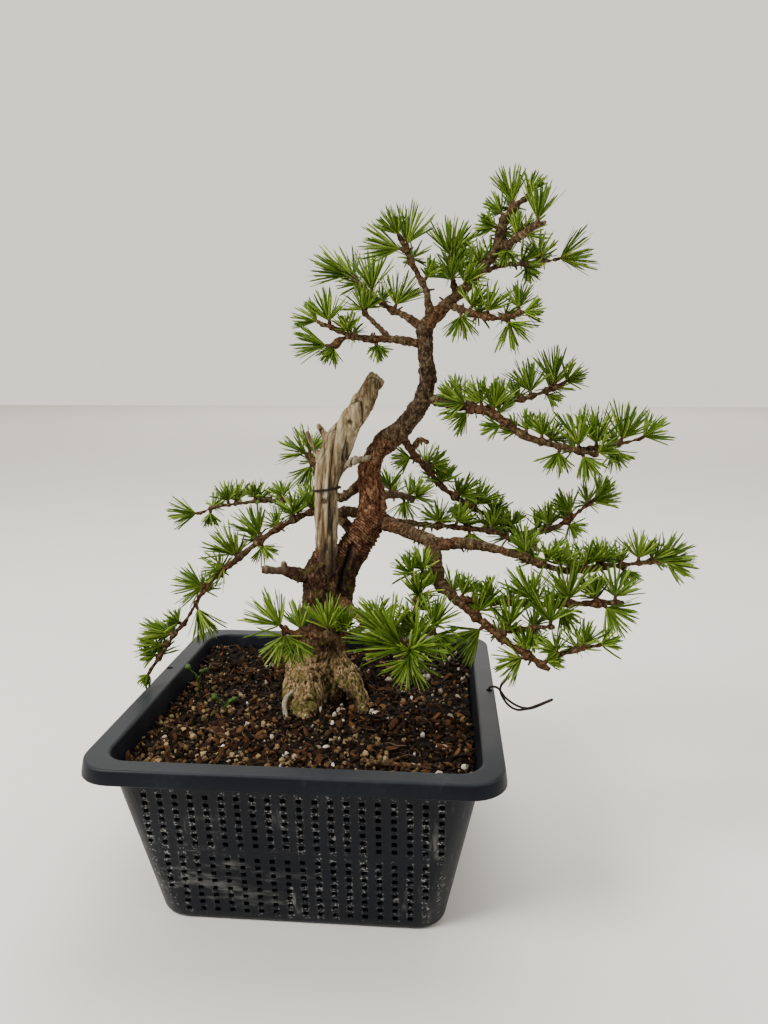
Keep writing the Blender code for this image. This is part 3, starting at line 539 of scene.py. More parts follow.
def scatter_tree(name, material):
    """Strews shapes over upward faces, denser where a slow noise is high, each with its own shade."""
    graph, given = new_tree(name, {
        "Density": "NodeSocketFloat", "Smallest": "NodeSocketFloat", "Largest": "NodeSocketFloat",
        "Tilt": "NodeSocketFloat", "Lift": "NodeSocketFloat", "Patch": "NodeSocketFloat",
        "Gather": "NodeSocketVector", "Seed": "NodeSocketInt", "Kinds": "NodeSocketCollection"})
    upward = graph.split(graph.node("GeometryNodeInputNormal"))[2]
    patch = graph.node("ShaderNodeTexNoise", {"noise_dimensions": "4D"},
                       {"W": given["Patch"], "Scale": 22.0, "Detail": 2.0})
    toward = graph.node("ShaderNodeVectorMath", {"operation": "DOT_PRODUCT"},
                        [graph.node("GeometryNodeInputPosition"), given["Gather"]])
    share = (toward + 0.5).math("MAXIMUM", 0.06).math("MINIMUM", 1.0)
    dense = graph.step(patch, 0.38, 0.62, 0.25, 1.0) * share
    points = graph.node("GeometryNodeDistributePointsOnFaces", {}, {
        "Mesh": given["Geometry"], "Density": given["Density"] * dense, "Seed": given["Seed"],
        "Selection": upward > 0.4}, "Points")
    up = graph.node("ShaderNodeCombineXYZ", {}, {"Z": graph.chance(0.0, given["Lift"], 5)})
    raised = graph.node("GeometryNodeSetPosition", {}, {"Geometry": points, "Offset": up})
    tilt = given["Tilt"]
    low = graph.node("ShaderNodeCombineXYZ", {}, {"X": 0 - tilt, "Y": 0 - tilt, "Z": -3.14})
    high = graph.node("ShaderNodeCombineXYZ", {}, {"X": tilt, "Y": tilt, "Z": 3.14})
    turn = graph.node("FunctionNodeRandomValue", {"data_type": "FLOAT_VECTOR"},
                      {"Min": low, "Max": high, "Seed": 1})
    luck = graph.chance(0.0, 1.0, 2) ** 2.2  # most grains are small
    size = given["Smallest"] + (given["Largest"] - given["Smallest"]) * luck
    source = graph.node("GeometryNodeCollectionInfo", {},
                        {"Collection": given["Kinds"], "Separate Children": True})
    copies = graph.node("GeometryNodeInstanceOnPoints", {},
                        {"Points": raised, "Instance": source, "Pick Instance": True,
                         "Rotation": turn, "Scale": size})
    return end_tree(graph, shaded_copies(graph, copies, graph.chance(0.0, 1.0, 3)), material)


def grain_finish(name, stops, speckle, roughness=0.9):
    """A mineral or bark crumb: one colour for each grain, with small specks."""
    material, graph, shader = finish(name, roughness=roughness)
    specks = graph.noise(graph.object_coordinates(), 900.0, 3.0, 0.7)
    base = graph.ramp(graph.attribute("shade"), *stops)
    graph.feed(shader, "Base Color", graph.blend(graph.step(specks, 0.5, 0.75, 0.0, 0.7), base, speckle))
    graph.feed(shader, "Normal", graph.bump(specks, 0.0004, 0.7))
    return material


GRAINS = {  # stops of colour, speck colour, shapes, density per m2, sizes, tilt, lift, patch, gather
    "bark_crumbs": (
        [(0.0, (0.008, 0.004, 0.002)), (0.5, (0.028, 0.012, 0.005)), (0.85, (0.07, 0.030, 0.011)),
         (1.0, (0.14, 0.062, 0.024))], (0.02, 0.011, 0.006),
        [stone(i, (1.6, 0.75, 0.45)) for i in range(6)], 110000, (1.6, 6.2), 1.0, 2.0, 1.0, (0, 0, 6)),
    "dark_crumbs": (
        [(0.0, (0.003, 0.002, 0.001)), (1.0, (0.022, 0.012, 0.006))], (0.035, 0.022, 0.014),
        [stone(20 + i, (1.2, 0.9, 0.7)) for i in range(5)], 210000, (1.1, 3.6), 3.0, 1.1, 4.0,
        (1.0, 1.5, 6)),
    "tan_grit": (
        [(0.0, (0.040, 0.024, 0.011)), (0.5, (0.12, 0.076, 0.034)), (0.85, (0.22, 0.15, 0.07)),
         (1.0, (0.34, 0.25, 0.13))], (0.07, 0.043, 0.02),
        [stone(40 + i, (1.0, 0.88, 0.8), 20) for i in range(5)], 110000, (1.5, 4.8), 3.0, 1.4, 9.0,
        (-2.5, -7.0, 0)),
    "pumice": (
        [(0.0, (0.22, 0.155, 0.10)), (0.35, (0.36, 0.28, 0.2)), (0.75, (0.5, 0.43, 0.34)),
         (1.0, (0.66, 0.61, 0.53))], (0.16, 0.115, 0.075),
        [stone(60 + i, (1.15, 0.9, 0.75), 18) for i in range(5)], 24000, (1.0, 5.4), 3.0, 1.9, 14.0,
        (3.5, 1.0, 0)),
}
for number, (name, grains) in enumerate(GRAINS.items()):
    stops, speckle, shapes, density, (small, large), tilt, lift, patch, gather = grains
    tree = scatter_tree(name, grain_finish(name, stops, speckle))
    strewn = add_piece(name, run_tree(tree, soil_mesh, {
        "Density": float(density), "Smallest": small * MM, "Largest": large * MM, "Tilt": tilt,
        "Lift": lift * MM, "Patch": patch, "Gather": gather, "Seed": number,
        "Kinds": kinds(name, shapes)}))
    strewn.data.shade_flat()
    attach(strewn, "root")


# ---- Trunk ----
# One leaning stem that flares into surface roots. The bark is tan, flaky and mossy at the foot,
# and dark red-brown above, where old training wire has left rings round the bend.
TRUNK = (
    [(-4, 16, 62, 16), (-4, 15, 74, 18.5), (-4, 17, 90, 16), (-3.5, 17, 104, 13.6),
     (1, 17, 124, 13.6), (4, 17, 138, 12.8), (8.5, 17, 150, 10.4), (13, 17.5, 158, 9.4),
     (17.5, 18, 165, 8.6), (22, 18.5, 172, 8.5), (26, 19, 179, 8.4), (27.8, 20, 190, 7.7),
     (26.5, 21, 201, 7), (25.5, 21.5, 209, 6.5), (29, 21, 217, 6.2), (36, 19, 225, 6.2),
     (45, 17, 233, 5.6), (53, 14, 244, 5), (57, 12, 256, 4.4), (56, 11, 269, 4.1),
     (55, 11, 279, 4.6), (55, 11, 283, 4.4)],
    [(-1, 16, 126, 11), (-0.6, 14.6, 140, 10.8), (-0.6, 14.2, 150, 10.2), (0.6, 13.6, 156, 9.2),
     (1.8, 12.8, 161, 7.4)],
    [(-9, 15, 102, 9), (-14, 5, 89, 7.8), (-15.5, -5, 80, 6.2), (-15, -14, 72, 4.5)],
    [(-5, 12, 98, 11), (-6, -1, 86, 9.6), (-6, -9, 77, 8), (-7, -15, 68, 5)],
    [(6, 15, 102, 7), (15.5, 9.5, 92, 6.6), (21.5, 3, 84, 5.6), (25.5, -3, 76, 4.4)],
    [(0, 26, 96, 9), (4, 38, 82, 8), (6, 46, 72, 5)],
)
DRY_ROOT = [(-14, -5, 90, 1.2), (-17, -10.5, 87.5, 1.3), (-16.4, -14.5, 83, 1.3), (-14.5, -18, 77, 1.1)]
BEND_WAY = Vector((0.56, 0.06, 0.82))  # the stem's direction through the bend
RING_PITCH = 2.3  # of the marks that the wire left
FOOT_HOLLOW = Vector((12, -4, 82))  # the gap between the front and right roots, carved in and painted dark as shade
COLLAR_GROOVE = ((10.7, 144), (17.1, 171))  # x and height of its ends, in front
ROUND_END = [(share, math.sqrt(1 - share ** 2)) for share in (0.8, 0.45)]
SAWN_END = [(0.93, 0.12), (0.6, 0.1)]  # width and rise of each ring that closes a limb, in radii


def smooth_route(route, step):
    """A smooth line through a route's (x, y, z, radius) points, with a point about every step."""
    knots = [Vector(p) for p in route]
    knots = [knots[0] * 2 - knots[1], *knots, knots[-1] * 2 - knots[-2]]
    points = []
    for a, b, c, d in zip(knots, knots[1:], knots[2:], knots[3:]):
        count = max(2, round((c - b).to_3d().length / step))
        for i in range(count):
            t = i / count
            points.append(0.5 * (2 * b + (c - a) * t + (2 * a - 5 * b + 4 * c - d) * t * t
                                 + (3 * b - a - 3 * c + d) * t ** 3))
    points.append(knots[-2])
    return points


def sweep(bm, route, sides, step, shape=None, cut_end=False):
    """A closed limb along a route, in millimetres; shape(place, along) adds to its radius."""
    line = smooth_route(route, step)
    uv = bm.loops.layers.uv.verify()
    side = Vector((0.3, 1, 0.2))
    rings, alongs, along = [], [], 0.0
    for i, point in enumerate(line):
        ahead = line[min(i + 1, len(line) - 1)].to_3d() - line[max(i - 1, 0)].to_3d()
        ahead.normalize()
        side = (side - ahead * side.dot(ahead)).normalized()
        third = ahead.cross(side)
        centre, radius = point.to_3d(), max(point.w, 0.2)
        if i:
            along += (centre - line[i - 1].to_3d()).length
        ring = []
        for j in range(sides):
            angle = 2 * math.pi * j / sides
            way = side * math.cos(angle) + third * math.sin(angle)
            extra = shape(centre + way * radius, along) if shape else 0
            ring.append(bm.verts.new((centre + way * (radius + extra)) * MM))
        rings.append(ring)
        alongs.append(along)
    for end, sign in ((0, -1), (-1, 1)):
        ahead = (line[end].to_3d() - line[end - sign].to_3d()).normalized()
        centre, radius = line[end].to_3d(), line[end].w
        for share, rise in SAWN_END if cut_end and end else ROUND_END:
            tip = [bm.verts.new(centre * MM + (v.co - centre * MM) * share + ahead * radius * rise * MM)
                   for v in rings[end]]
            if end:
                rings.append(tip)
                alongs.append(alongs[-1] + radius * 0.3)
            else:
                rings.insert(0, tip)
                alongs.insert(0, alongs[0] - radius * 0.3)
    for (lower, low), (upper, high) in zip(zip(rings, alongs), zip(rings[1:], alongs[1:])):
        for j in range(sides):
            k = (j + 1) % sides
            face = bm.faces.new((lower[j], lower[k], upper[k], upper[j]))
            for loop, u, v in zip(face.loops, (j, j + 1, j + 1, j), (low, low, high, high)):
                loop[uv].uv = (u / sides, v * MM * 10)
    bm.faces.new(list(reversed(rings[0])))
    bm.faces.new(rings[-1])


def swept_mesh(routes, sides, step, shape=None):
    """A mesh of plain limbs."""
    bm = bmesh.new()
    for route in routes:
        sweep(bm, route, sides, step, shape)
    bmesh.ops.recalc_face_normals(bm, faces=bm.faces)
    return mesh_from(bm)


def remeshed(bm, voxel, smooth):
    """Overlapping limbs joined into one skin of even quads."""
    holder = bpy.data.objects.new("holder", mesh_from(bm))
    bpy.context.scene.collection.objects.link(holder)
    remesh = holder.modifiers.new("remesh", "REMESH")
    remesh.mode, remesh.voxel_size = "VOXEL", voxel * MM
    soften = holder.modifiers.new("soften", "SMOOTH")
    soften.iterations, soften.factor = smooth, 0.5
    made = bpy.data.meshes.new_from_object(holder.evaluated_get(bpy.context.evaluated_depsgraph_get()))
    bpy.data.objects.remove(holder)
    return made


def carve(mesh, depth):
    """Moves a skin out by depth(place), two numbers in mm: a broad shape and a fine relief.

    The relief is kept in the attribute "relief", so that a finish can paint shade into the crevices.
    """
    count = len(mesh.vertices)
    places, normals = np.empty(count * 3), np.empty(count * 3)
    mesh.vertices.foreach_get("co", places)
    mesh.vertices.foreach_get("normal", normals)
    places, normals = places.reshape(-1, 3), normals.reshape(-1, 3)
    offsets = np.array([depth(Vector(p) / MM) for p in places.tolist()])
    places += normals * offsets.sum(axis=1)[:, None] * MM
    mesh.vertices.foreach_set("co", places.ravel())
    mesh.attributes.new("relief", "FLOAT", "POINT").data.foreach_set("value", offsets[:, 1])
    mesh.update()


def ridges(place, width, height, seed):
    """Long ridges of about this size: 0 on a ridge, down to -1 in the thin valleys between."""
    at = Vector((place.x / width + seed, place.y / width, place.z / height))
    return min(0.0, abs(noise.noise(at)) * 4.5 - 1)


def smooth_share(value, low, high):
    """A smooth step from 0, at low, to 1, at high."""
    share = min(max((value - low) / (high - low), 0.0), 1.0)
    return share * share * (3 - 2 * share)


def trunk_depth(place):
    """The trunk's skin: stringy flutes at the foot, flaky bark above, rings round the bend."""
    foot = smooth_share(place.z, 128, 98)
    warp = Vector((noise.noise(place * 0.09), noise.noise(place * 0.09 + Vector((7, 7, 7))), 0)) * 4
    bent = place + warp
    lumps = 1.0 * noise.noise(place * 0.075) + 1.0 * noise.noise(place * 0.17 + Vector((9, 2, 4)))
    angle = math.atan2(place.y - 16, place.x + 4)
    flutes = foot * 0.9 * math.sin(angle * 6 + 0.4 + 2.6 * noise.noise(place * 0.06))
    strings = foot * (0.85 * ridges(bent, 2.6, 8, 3) + 0.6 * ridges(bent, 1.3, 3.6, 8))
    flaky = (1 - foot) * (0.65 * ridges(bent, 2.4, 3.4, 5) + 0.45 * ridges(bent, 1.3, 1.9, 1))
    bend = smooth_share(place.z, 156, 164) * smooth_share(place.z, 189, 181)
    turn = place.dot(BEND_WAY) / RING_PITCH + 1.1 * noise.noise(place * 0.13)
    rings = bend * 0.5 * math.sin(2 * math.pi * turn)
    rough = 0.4 * noise.noise(place * 0.6) + 0.28 * noise.noise(place * 1.3)
    groove = 0.0
    (low_x, low_z), (high_x, high_z) = COLLAR_GROOVE
    if low_z - 4 < place.z < high_z + 2 and place.y < 16:
        line = low_x + (high_x - low_x) * (place.z - low_z) / (high_z - low_z)
        ends = smooth_share(place.z, low_z - 4, low_z + 2) * smooth_share(place.z, high_z + 2, high_z - 6)
        groove = -2.8 * ends * math.exp(-((place.x - line + noise.noise(place * 0.2)) / 1.3) ** 2)
    hollow = -3.0 * math.exp(-((place - FOOT_HOLLOW).length / 5) ** 2)
    return lumps + flutes + hollow, strings + flaky * (1 - 0.6 * bend) + rings + rough + groove


def knuckled(place, along):
    return 0.5 * noise.noise(place * 0.2)


bm = bmesh.new()
for route in TRUNK:
    sweep(bm, route, 28, 3.0, knuckled)
trunk_mesh = remeshed(bm, 0.66, 3)
carve(trunk_mesh, trunk_depth)

bark, rind, bark_shader = finish("trunk_bark", roughness=0.9)
where = rind.object_coordinates()
height = rind.split(where)[2]
relief = rind.attribute("relief")
patches = rind.noise(where, 85.0, 5.0, 0.65)
flakes = rind.noise(rind.object_coordinates((1, 1, 0.45)), 520.0, 6.0, 0.75)
strands = rind.noise(rind.object_coordinates((1, 1, 0.2)), 640.0, 5.0, 0.7)
foot_tan = rind.ramp(strands * 0.4 + flakes * 0.6, (0.36, (0.022, 0.013, 0.005)),
                     (0.45, (0.13, 0.08, 0.034)), (0.53, (0.35, 0.235, 0.115)), (0.64, (0.66, 0.50, 0.30)))
stem_red = rind.ramp(flakes, (0.36, (0.012, 0.004, 0.002)), (0.46, (0.08, 0.030, 0.014)),
                     (0.54, (0.185, 0.08, 0.038)), (0.66, (0.42, 0.26, 0.15)))
neck_grey = rind.ramp(flakes, (0.34, (0.008, 0.005, 0.002)), (0.46, (0.044, 0.027, 0.014)),
                      (0.55, (0.11, 0.075, 0.042)), (0.7, (0.29, 0.22, 0.135)))
dark_collar = rind.ramp(flakes, (0.36, (0.005, 0.003, 0.002)), (0.48, (0.034, 0.014, 0.008)),
                        (0.57, (0.085, 0.042, 0.024)), (0.7, (0.22, 0.15, 0.1)))
unsteady = height + (patches - 0.5) * 0.03
wood = rind.blend(rind.step(unsteady, 0.102, 0.116), foot_tan, dark_collar)
wood = rind.blend(rind.step(unsteady, 0.158, 0.172), wood, stem_red)
wood = rind.blend(rind.step(unsteady, 0.212, 0.232), wood, neck_grey)
moss_noise = rind.noise(where, 120.0, 6.0, 0.72)
low_moss = rind.step(moss_noise, 0.5, 0.58) * rind.step(height, 0.134, 0.084, 0.0, 0.85)
high_moss = rind.step(moss_noise, 0.5, 0.6) * rind.step(height, 0.182, 0.16) * 0.55
moss = rind.blend(flakes, (0.022, 0.026, 0.004), (0.17, 0.16, 0.03))
wood = rind.blend(low_moss.math("MAXIMUM", high_moss), wood, moss)
band = rind.node("ShaderNodeVectorMath", {"operation": "DOT_PRODUCT"}, [where, BEND_WAY])
rings = (band * (2 * math.pi / (0.62 * RING_PITCH * MM)) + patches * 16).math("SINE")
on_bend = rind.step(height, 0.156, 0.166) * rind.step(height, 0.19, 0.18)
ring_lines = rind.step(rings, 0.35, 0.95) * on_bend
# Painted shade: the carved cracks and the wire-ring grooves are darkened where shade falls in them.
painted_crevice_shade = rind.step(relief, -0.3, -1.1).math("MAXIMUM", ring_lines * 0.9)
# Painted shade: the bark is darkened round the hollow between the front and right roots.
from_hollow = rind.node("ShaderNodeVectorMath", {"operation": "DISTANCE"}, [where, FOOT_HOLLOW * MM])
shaded = rind.step(from_hollow + (moss_noise - 0.5) * 0.01, 0.0125, 0.0075)
wood = rind.blend(painted_crevice_shade * 0.85, wood, (0.010, 0.006, 0.004))
rind.feed(bark_shader, "Base Color", rind.blend(shaded * 0.92, wood, (0.008, 0.006, 0.004)))
rind.feed(bark_shader, "Normal", rind.bump(flakes + strands * 0.6 - ring_lines * 0.35, 0.0011, 0.9))
trunk = add_piece("trunk_wood", trunk_mesh, bark)
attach(trunk, "root")
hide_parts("trunk")

pale_root, lignin, root_shader = finish("dry_root", roughness=0.85)
threads = lignin.noise(lignin.object_coordinates((1, 1, 0.3)), 700.0, 4.0, 0.7)
dead_root = lignin.ramp(threads, (0.35, (0.12, 0.1, 0.06)), (0.65, (0.5, 0.45, 0.34)))
lignin.feed(root_shader, "Base Color", dead_root)
lignin.feed(root_shader, "Normal", lignin.bump(threads, 0.0005, 0.7))
dry_root = add_piece("dry_root", swept_mesh([DRY_ROOT], 10, 1.2, knuckled), pale_root)
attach(dry_root, "root")


# ---- Deadwood ----
# The old top of the tree, killed and stripped of bark: a bleached stump with long cracks, three
# broken twigs and a slanted end. A loop of thin wire is tied round it.
DEADWOOD = (
    [(2, 13, 150, 7.2), (2.6, 12.4, 162, 6.7), (2.7, 12, 176, 6.5), (3, 12, 192, 6.5),
     (3.6, 12, 203, 6.7), (6.4, 12, 214, 7.5), (11, 11.5, 224, 7.4), (16.5, 10.5, 234, 6.6),
     (22, 9.5, 243.5, 6), (27, 8.8, 251.5, 5.4), (31.5, 8, 258.5, 4.2)],
    [(6, 12, 207, 3.5), (10, 12, 209, 2.8), (17, 7, 214, 2.1), (27, 3, 217, 1.3)],
    [(5, 12, 209, 3), (1, 12, 213, 2.2), (-3, 8, 222, 1.6), (-5, 5, 229, 1)],
    [(9, 12, 217, 3), (6, 13, 222, 2.1), (2, 16, 227, 1.9), (-1, 17, 232, 1.3)],
)
KNOT_HOLES = (  # middle, size, depth
    (Vector((2.8, 5.5, 193)), 1.5, 1.5), (Vector((17.5, 4.5, 235)), 1.5, 1.3))
SPLIT_TOP = Vector((33, 5, 259))  # where the top broke off ragged


def dead_depth(place):
    """The deadwood's skin: twisted grain, long splits, knot holes and a ragged top."""
    twist = place.z * 0.02
    turned = Vector((place.x * math.cos(twist) - place.y * math.sin(twist),
                     place.x * math.sin(twist) + place.y * math.cos(twist), place.z))
    facets = 1.5 * noise.noise(Vector((turned.x * 0.22, turned.y * 0.22, turned.z * 0.035)))
    lumps = 0.8 * noise.noise(place * 0.1)
    splits = 0.95 * ridges(turned, 7.0, 52, 2) + 0.6 * ridges(turned, 3.0, 24, 6)
    grain = 0.3 * noise.noise(Vector((turned.x * 1.5, turned.y * 1.5, turned.z * 0.16)))
    holes = sum(-depth * math.exp(-((place - middle).length / size) ** 2)
                for middle, size, depth in KNOT_HOLES)
    ragged = -3.2 * math.exp(-((place - SPLIT_TOP).length / 3.2) ** 2)
    return facets + lumps + ragged, splits + grain + holes


bm = bmesh.new()
for route in DEADWOOD:
    sweep(bm, route, 24, 2.0, cut_end=route is DEADWOOD[0])
dead_mesh = remeshed(bm, 0.5, 1)
carve(dead_mesh, dead_depth)
bleached, grainy, dead_shader = finish("bleached_wood", roughness=0.82)
where = grainy.object_coordinates()
lengthwise = grainy.object_coordinates((1, 1, 0.08))
lines = grainy.noise(lengthwise, 620.0, 6.0, 0.7)
broad = grainy.noise(lengthwise, 190.0, 4.0, 0.65)
stain = grainy.noise(where, 70.0, 5.0, 0.65)
relief = grainy.attribute("relief")
sideways, _, height = grainy.split(where)
dry = grainy.ramp(lines * 0.5 + broad * 0.5, (0.37, (0.04, 0.024, 0.011)), (0.45, (0.17, 0.115, 0.058)),
                  (0.53, (0.38, 0.295, 0.175)), (0.63, (0.62, 0.53, 0.36)))
algae = grainy.step(stain, 0.48, 0.64) * grainy.step(height - sideways * 0.6, 0.2, 0.236)
dry = grainy.blend(algae * 0.6, dry, (0.17, 0.18, 0.06))
weathered = grainy.step(stain, 0.52, 0.66) * 0.45
dry = grainy.blend(weathered, dry, (0.16, 0.13, 0.1))
damp = grainy.step(height + (stain - 0.5) * 0.03 + (broad - 0.5) * 0.03, 0.174, 0.158)
dry = grainy.blend(damp * 0.85, dry, (0.055, 0.03, 0.018))
left_tips = grainy.step(sideways, 0.0, -0.004) * grainy.step(height, 0.222, 0.229)
dry = grainy.blend(left_tips * 0.7, dry, (0.05, 0.035, 0.028))
right_tip = grainy.step(sideways, 0.014, 0.02) * grainy.step(height, 0.226, 0.22)
dry = grainy.blend(right_tip * 0.65, dry, (0.13, 0.105, 0.075))
# Painted shade: the carved splits and knot holes are darkened where shade falls in them.
painted_crack_shade = grainy.step(relief, -0.3, -1.05)
grainy.feed(dead_shader, "Base Color", grainy.blend(painted_crack_shade * 0.8, dry, (0.022, 0.013, 0.008)))
grainy.feed(dead_shader, "Normal", grainy.bump(lines + broad * 0.6, 0.0014, 1.0))
deadwood = add_piece("deadwood_stump", dead_mesh, bleached)
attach(deadwood, "root")
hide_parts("deadwood")


# ---- Limbs ----
# Knobbly young wood, red-brown and ringed with old bud scars. Each limb leaves the trunk or a
# heavier limb, and short spurs stand on it wherever a tuft of needles grows.
LEADER = [(55, 11, 283, 4.5), (66, 11, 294, 3.9), (77, 12, 304, 3.1), (86, 13, 314, 2.7),
          (92, 14, 324, 2.5), (94, 14, 335, 2.1), (100, 13, 342, 1.8), (106, 12, 346, 1.5)]
LEADER_RIGHT = [(92, 14, 322, 2), (101, 10, 326, 1.7), (107, 6, 330, 1.5), (113, 3, 332, 1.2)]
LEADER_FAR = [(85, 13, 311, 2), (96, 20, 315, 1.4), (106, 26, 316, 1.1), (124, 34, 319, 0.8)]
LEADER_UP = [(71, 11, 298, 2.2), (69, 20, 310, 1.5), (68, 26, 319, 1)]
LEADER_LOW = [(67, 11, 294, 2.2), (78, 4, 290, 1.7), (87, -2, 287, 1.5), (96, -6, 287, 1.4),
              (102, -8, 289, 1.1)]
CROWN_LEFT = [(58, 11, 287, 3), (56, 8, 301, 2), (51, 6, 310, 1.8), (43, 4, 326, 1.4)]
CROWN_BACK = [(56, 11, 282, 3), (44, 14, 290, 2.2), (37, 18, 293, 1.9), (27, 23, 301, 1.6),
              (16, 30, 311, 1.2)]
MID_LEFT = [(55, 10, 275, 3), (39, 6, 277, 2.4), (27, 2, 277, 2), (18, -2, 278, 1.8),
            (11, -6, 274, 1.7), (6, -8, 270, 1.4)]
MID_LEFT_UP = [(38, 5, 277, 2), (30, 10, 285, 1.4), (24, 13, 291, 1)]
MID_LEFT_FRONT = [(19, -2, 278, 1.8), (11, -5, 282, 1.4), (5, -8, 284, 1)]
RIGHT_UPPER = [(55, 13, 248, 3.2), (70, 8, 244, 2.8), (87, 2, 241, 2.4), (105, -4, 230, 2),
               (117, -8, 226, 1.7), (140, -14, 221, 1.2)]
RIGHT_UPPER_BACK = [(84, 3, 241, 2), (95, 10, 245, 1.4), (108, 16, 247, 1.3), (129, 24, 255, 1)]
RIGHT_UPPER_TIP = [(127, -11, 223, 1.6), (141, -10, 224, 1.2), (162, -6, 228, 0.8)]
RIGHT_MID = [(42, 17, 232, 3), (49, 26, 217, 2.3), (57, 33, 208, 2), (65, 38, 197, 1.8),
             (85, 44, 183, 1.7), (98, 47, 177, 1.5), (111, 48, 166, 1.4)]
RIGHT_MID_SPUR = [(49, 25, 220, 2), (53, 18, 225, 1.7), (57, 17, 224, 1.2)]
RIGHT_MID_TIP = [(107, 47, 168, 1.8), (120, 44, 171, 1.6), (130, 42, 174, 1.4),
                 (138, 40, 180, 1.2), (151, 37, 192, 0.8)]
RIGHT_BACK = [(28, 21, 183, 3), (40, 22, 180, 2.4), (54, 28, 177, 2), (73, 33, 175, 1.6),
              (94, 36, 172, 1.4), (110, 37, 165, 1.4), (125, 38, 160, 1.1)]
RIGHT_LOW = [(26, 20, 181, 5), (38, 14, 179, 4.4), (53, 4, 176, 4), (65, -4, 173, 3.7),
             (78, -9, 175, 3.5), (99, -16, 172, 2.3), (125, -18, 164, 1.7), (146, -14, 165, 1.5),
             (176, -10, 168, 0.9)]
RIGHT_CUT = [(60, -2, 174, 4.4), (63, -12, 162, 4.6), (65, -17, 156, 3.9), (71, -22, 151, 2.6),
             (89, -32, 138, 1.8), (103, -40, 130, 1.7), (117, -46, 123, 1.5)]
RIGHT_CUT_SPUR = [(63, -13, 159, 2.6), (57, -18, 160, 2.1), (52, -22, 159, 1.6)]
RIGHT_CUT_HANGER = [(52, -21, 159, 1.7), (54, -26, 152, 1.5), (53, -36, 145, 1.4),
                    (52.5, -46, 140.5, 1.2)]
RIGHT_CUT_YOUNG = [(114, -44, 125, 1.5), (124, -45, 131, 1.1), (138, -46, 135, 0.7)]
RIGHT_CUT_INNER = [(91, -33, 136, 1.7), (103, -36, 139, 1.3), (119, -37, 141, 1)]
RIGHT_LONG = [(72, -22, 150, 2), (85, -25, 149, 1.8), (113, -27, 149, 1.7), (154, -25, 150, 1.6)]
FRONT = [(9, 14, 137, 4.2), (21, -10, 137, 3.2), (31, -33, 139, 2.8), (42, -51, 138.5, 2.2),
         (51.5, -61, 135.5, 1.9)]
FRONT_RIGHT = [(47, -56, 137, 1.8), (55, -51, 138, 1.5), (62, -44, 140.5, 1.3)]
FRONT_LEFT = [(31, -34, 140, 2.6), (23, -50, 139, 2.1), (12, -58, 141, 1.8), (1, -60, 142, 1.6),
              (-6, -60, 144, 1.3)]
BACK_LEFT = [(23, 23, 202, 3.6), (6, 45, 189, 2.9), (-5, 62, 198, 2.4), (-18, 78, 210, 1.7)]
LEFT_BACK = [(20, 21, 184, 3.8), (11, 27, 184, 3.2), (-2, 42, 181, 2.6), (-19, 52, 185, 1.6),
             (-45, 58, 184, 1.3), (-71, 60, 180, 1.1), (-82, 59, 176, 0.9)]
CASCADE = [(18, 19, 172, 4.2), (7, 32, 180, 3.3), (-7, 30, 183, 2.2), (-20, 24, 178, 1.8),
           (-33, 17, 170, 1.7), (-53, 6, 154, 1.5), (-64, 1, 142, 1.3), (-72, -4, 128, 1.2),
           (-80, -7, 118, 1.1), (-92, -9, 100, 0.8)]
BACK_RIGHT = [(26, 20, 192, 3.2), (36, 45, 191, 2.4), (41, 62, 188, 2.1), (47, 76, 183, 1.6)]
CUT_STUB = [(0, 14, 150, 4.4), (-9, 10, 151, 4.6), (-14, 7, 153, 4.5), (-17.5, 5, 154.5, 3.6)]
STUB_TWIG = ([(-15, 6, 154, 2.4), (-22, 3, 155.6, 2.1), (-30, 0, 156.5, 1.9)],
             [(-18, 4, 155, 1.8), (-19, 3, 160.4, 1.3)])
LIMBS = {
    "limb_leader": [LEADER, LEADER_RIGHT, LEADER_FAR, LEADER_UP],
    "limb_leader_low": [LEADER_LOW],
    "limb_crown_left": [CROWN_LEFT],
    "limb_crown_back": [CROWN_BACK],
    "limb_mid_left": [MID_LEFT, MID_LEFT_UP, MID_LEFT_FRONT],
    "limb_right_upper": [RIGHT_UPPER, RIGHT_UPPER_BACK, RIGHT_UPPER_TIP],
    "limb_right_mid": [RIGHT_MID, RIGHT_MID_SPUR, RIGHT_MID_TIP],
    "limb_right_low": [RIGHT_LOW],
    "limb_right_back": [RIGHT_BACK],
    "limb_right_cut": [RIGHT_CUT, RIGHT_CUT_SPUR, RIGHT_CUT_HANGER, RIGHT_CUT_YOUNG,
                       RIGHT_CUT_INNER],
    "limb_right_long": [RIGHT_LONG],
    "limb_front": [FRONT, FRONT_LEFT, FRONT_RIGHT],
    "limb_cascade": [CASCADE],
    "limb_left_back": [LEFT_BACK],
    "limb_back_left": [BACK_LEFT],
    "limb_back_right": [BACK_RIGHT],
    "cut_stub": [CUT_STUB],
}
SAWN = (RIGHT_CUT, RIGHT_LONG)
STOUT = 3.4  # a limb that is anywhere thicker gets more sides
SLIMMER = 0.84  # the rings and lumps stand out from the routes' radii, so the wood starts thinner
SPUR = 1.8  # how far a spur stands off its twig
FAR_SIDE_GAP = 13.0  # between the tufts that grow on the far side of a twig
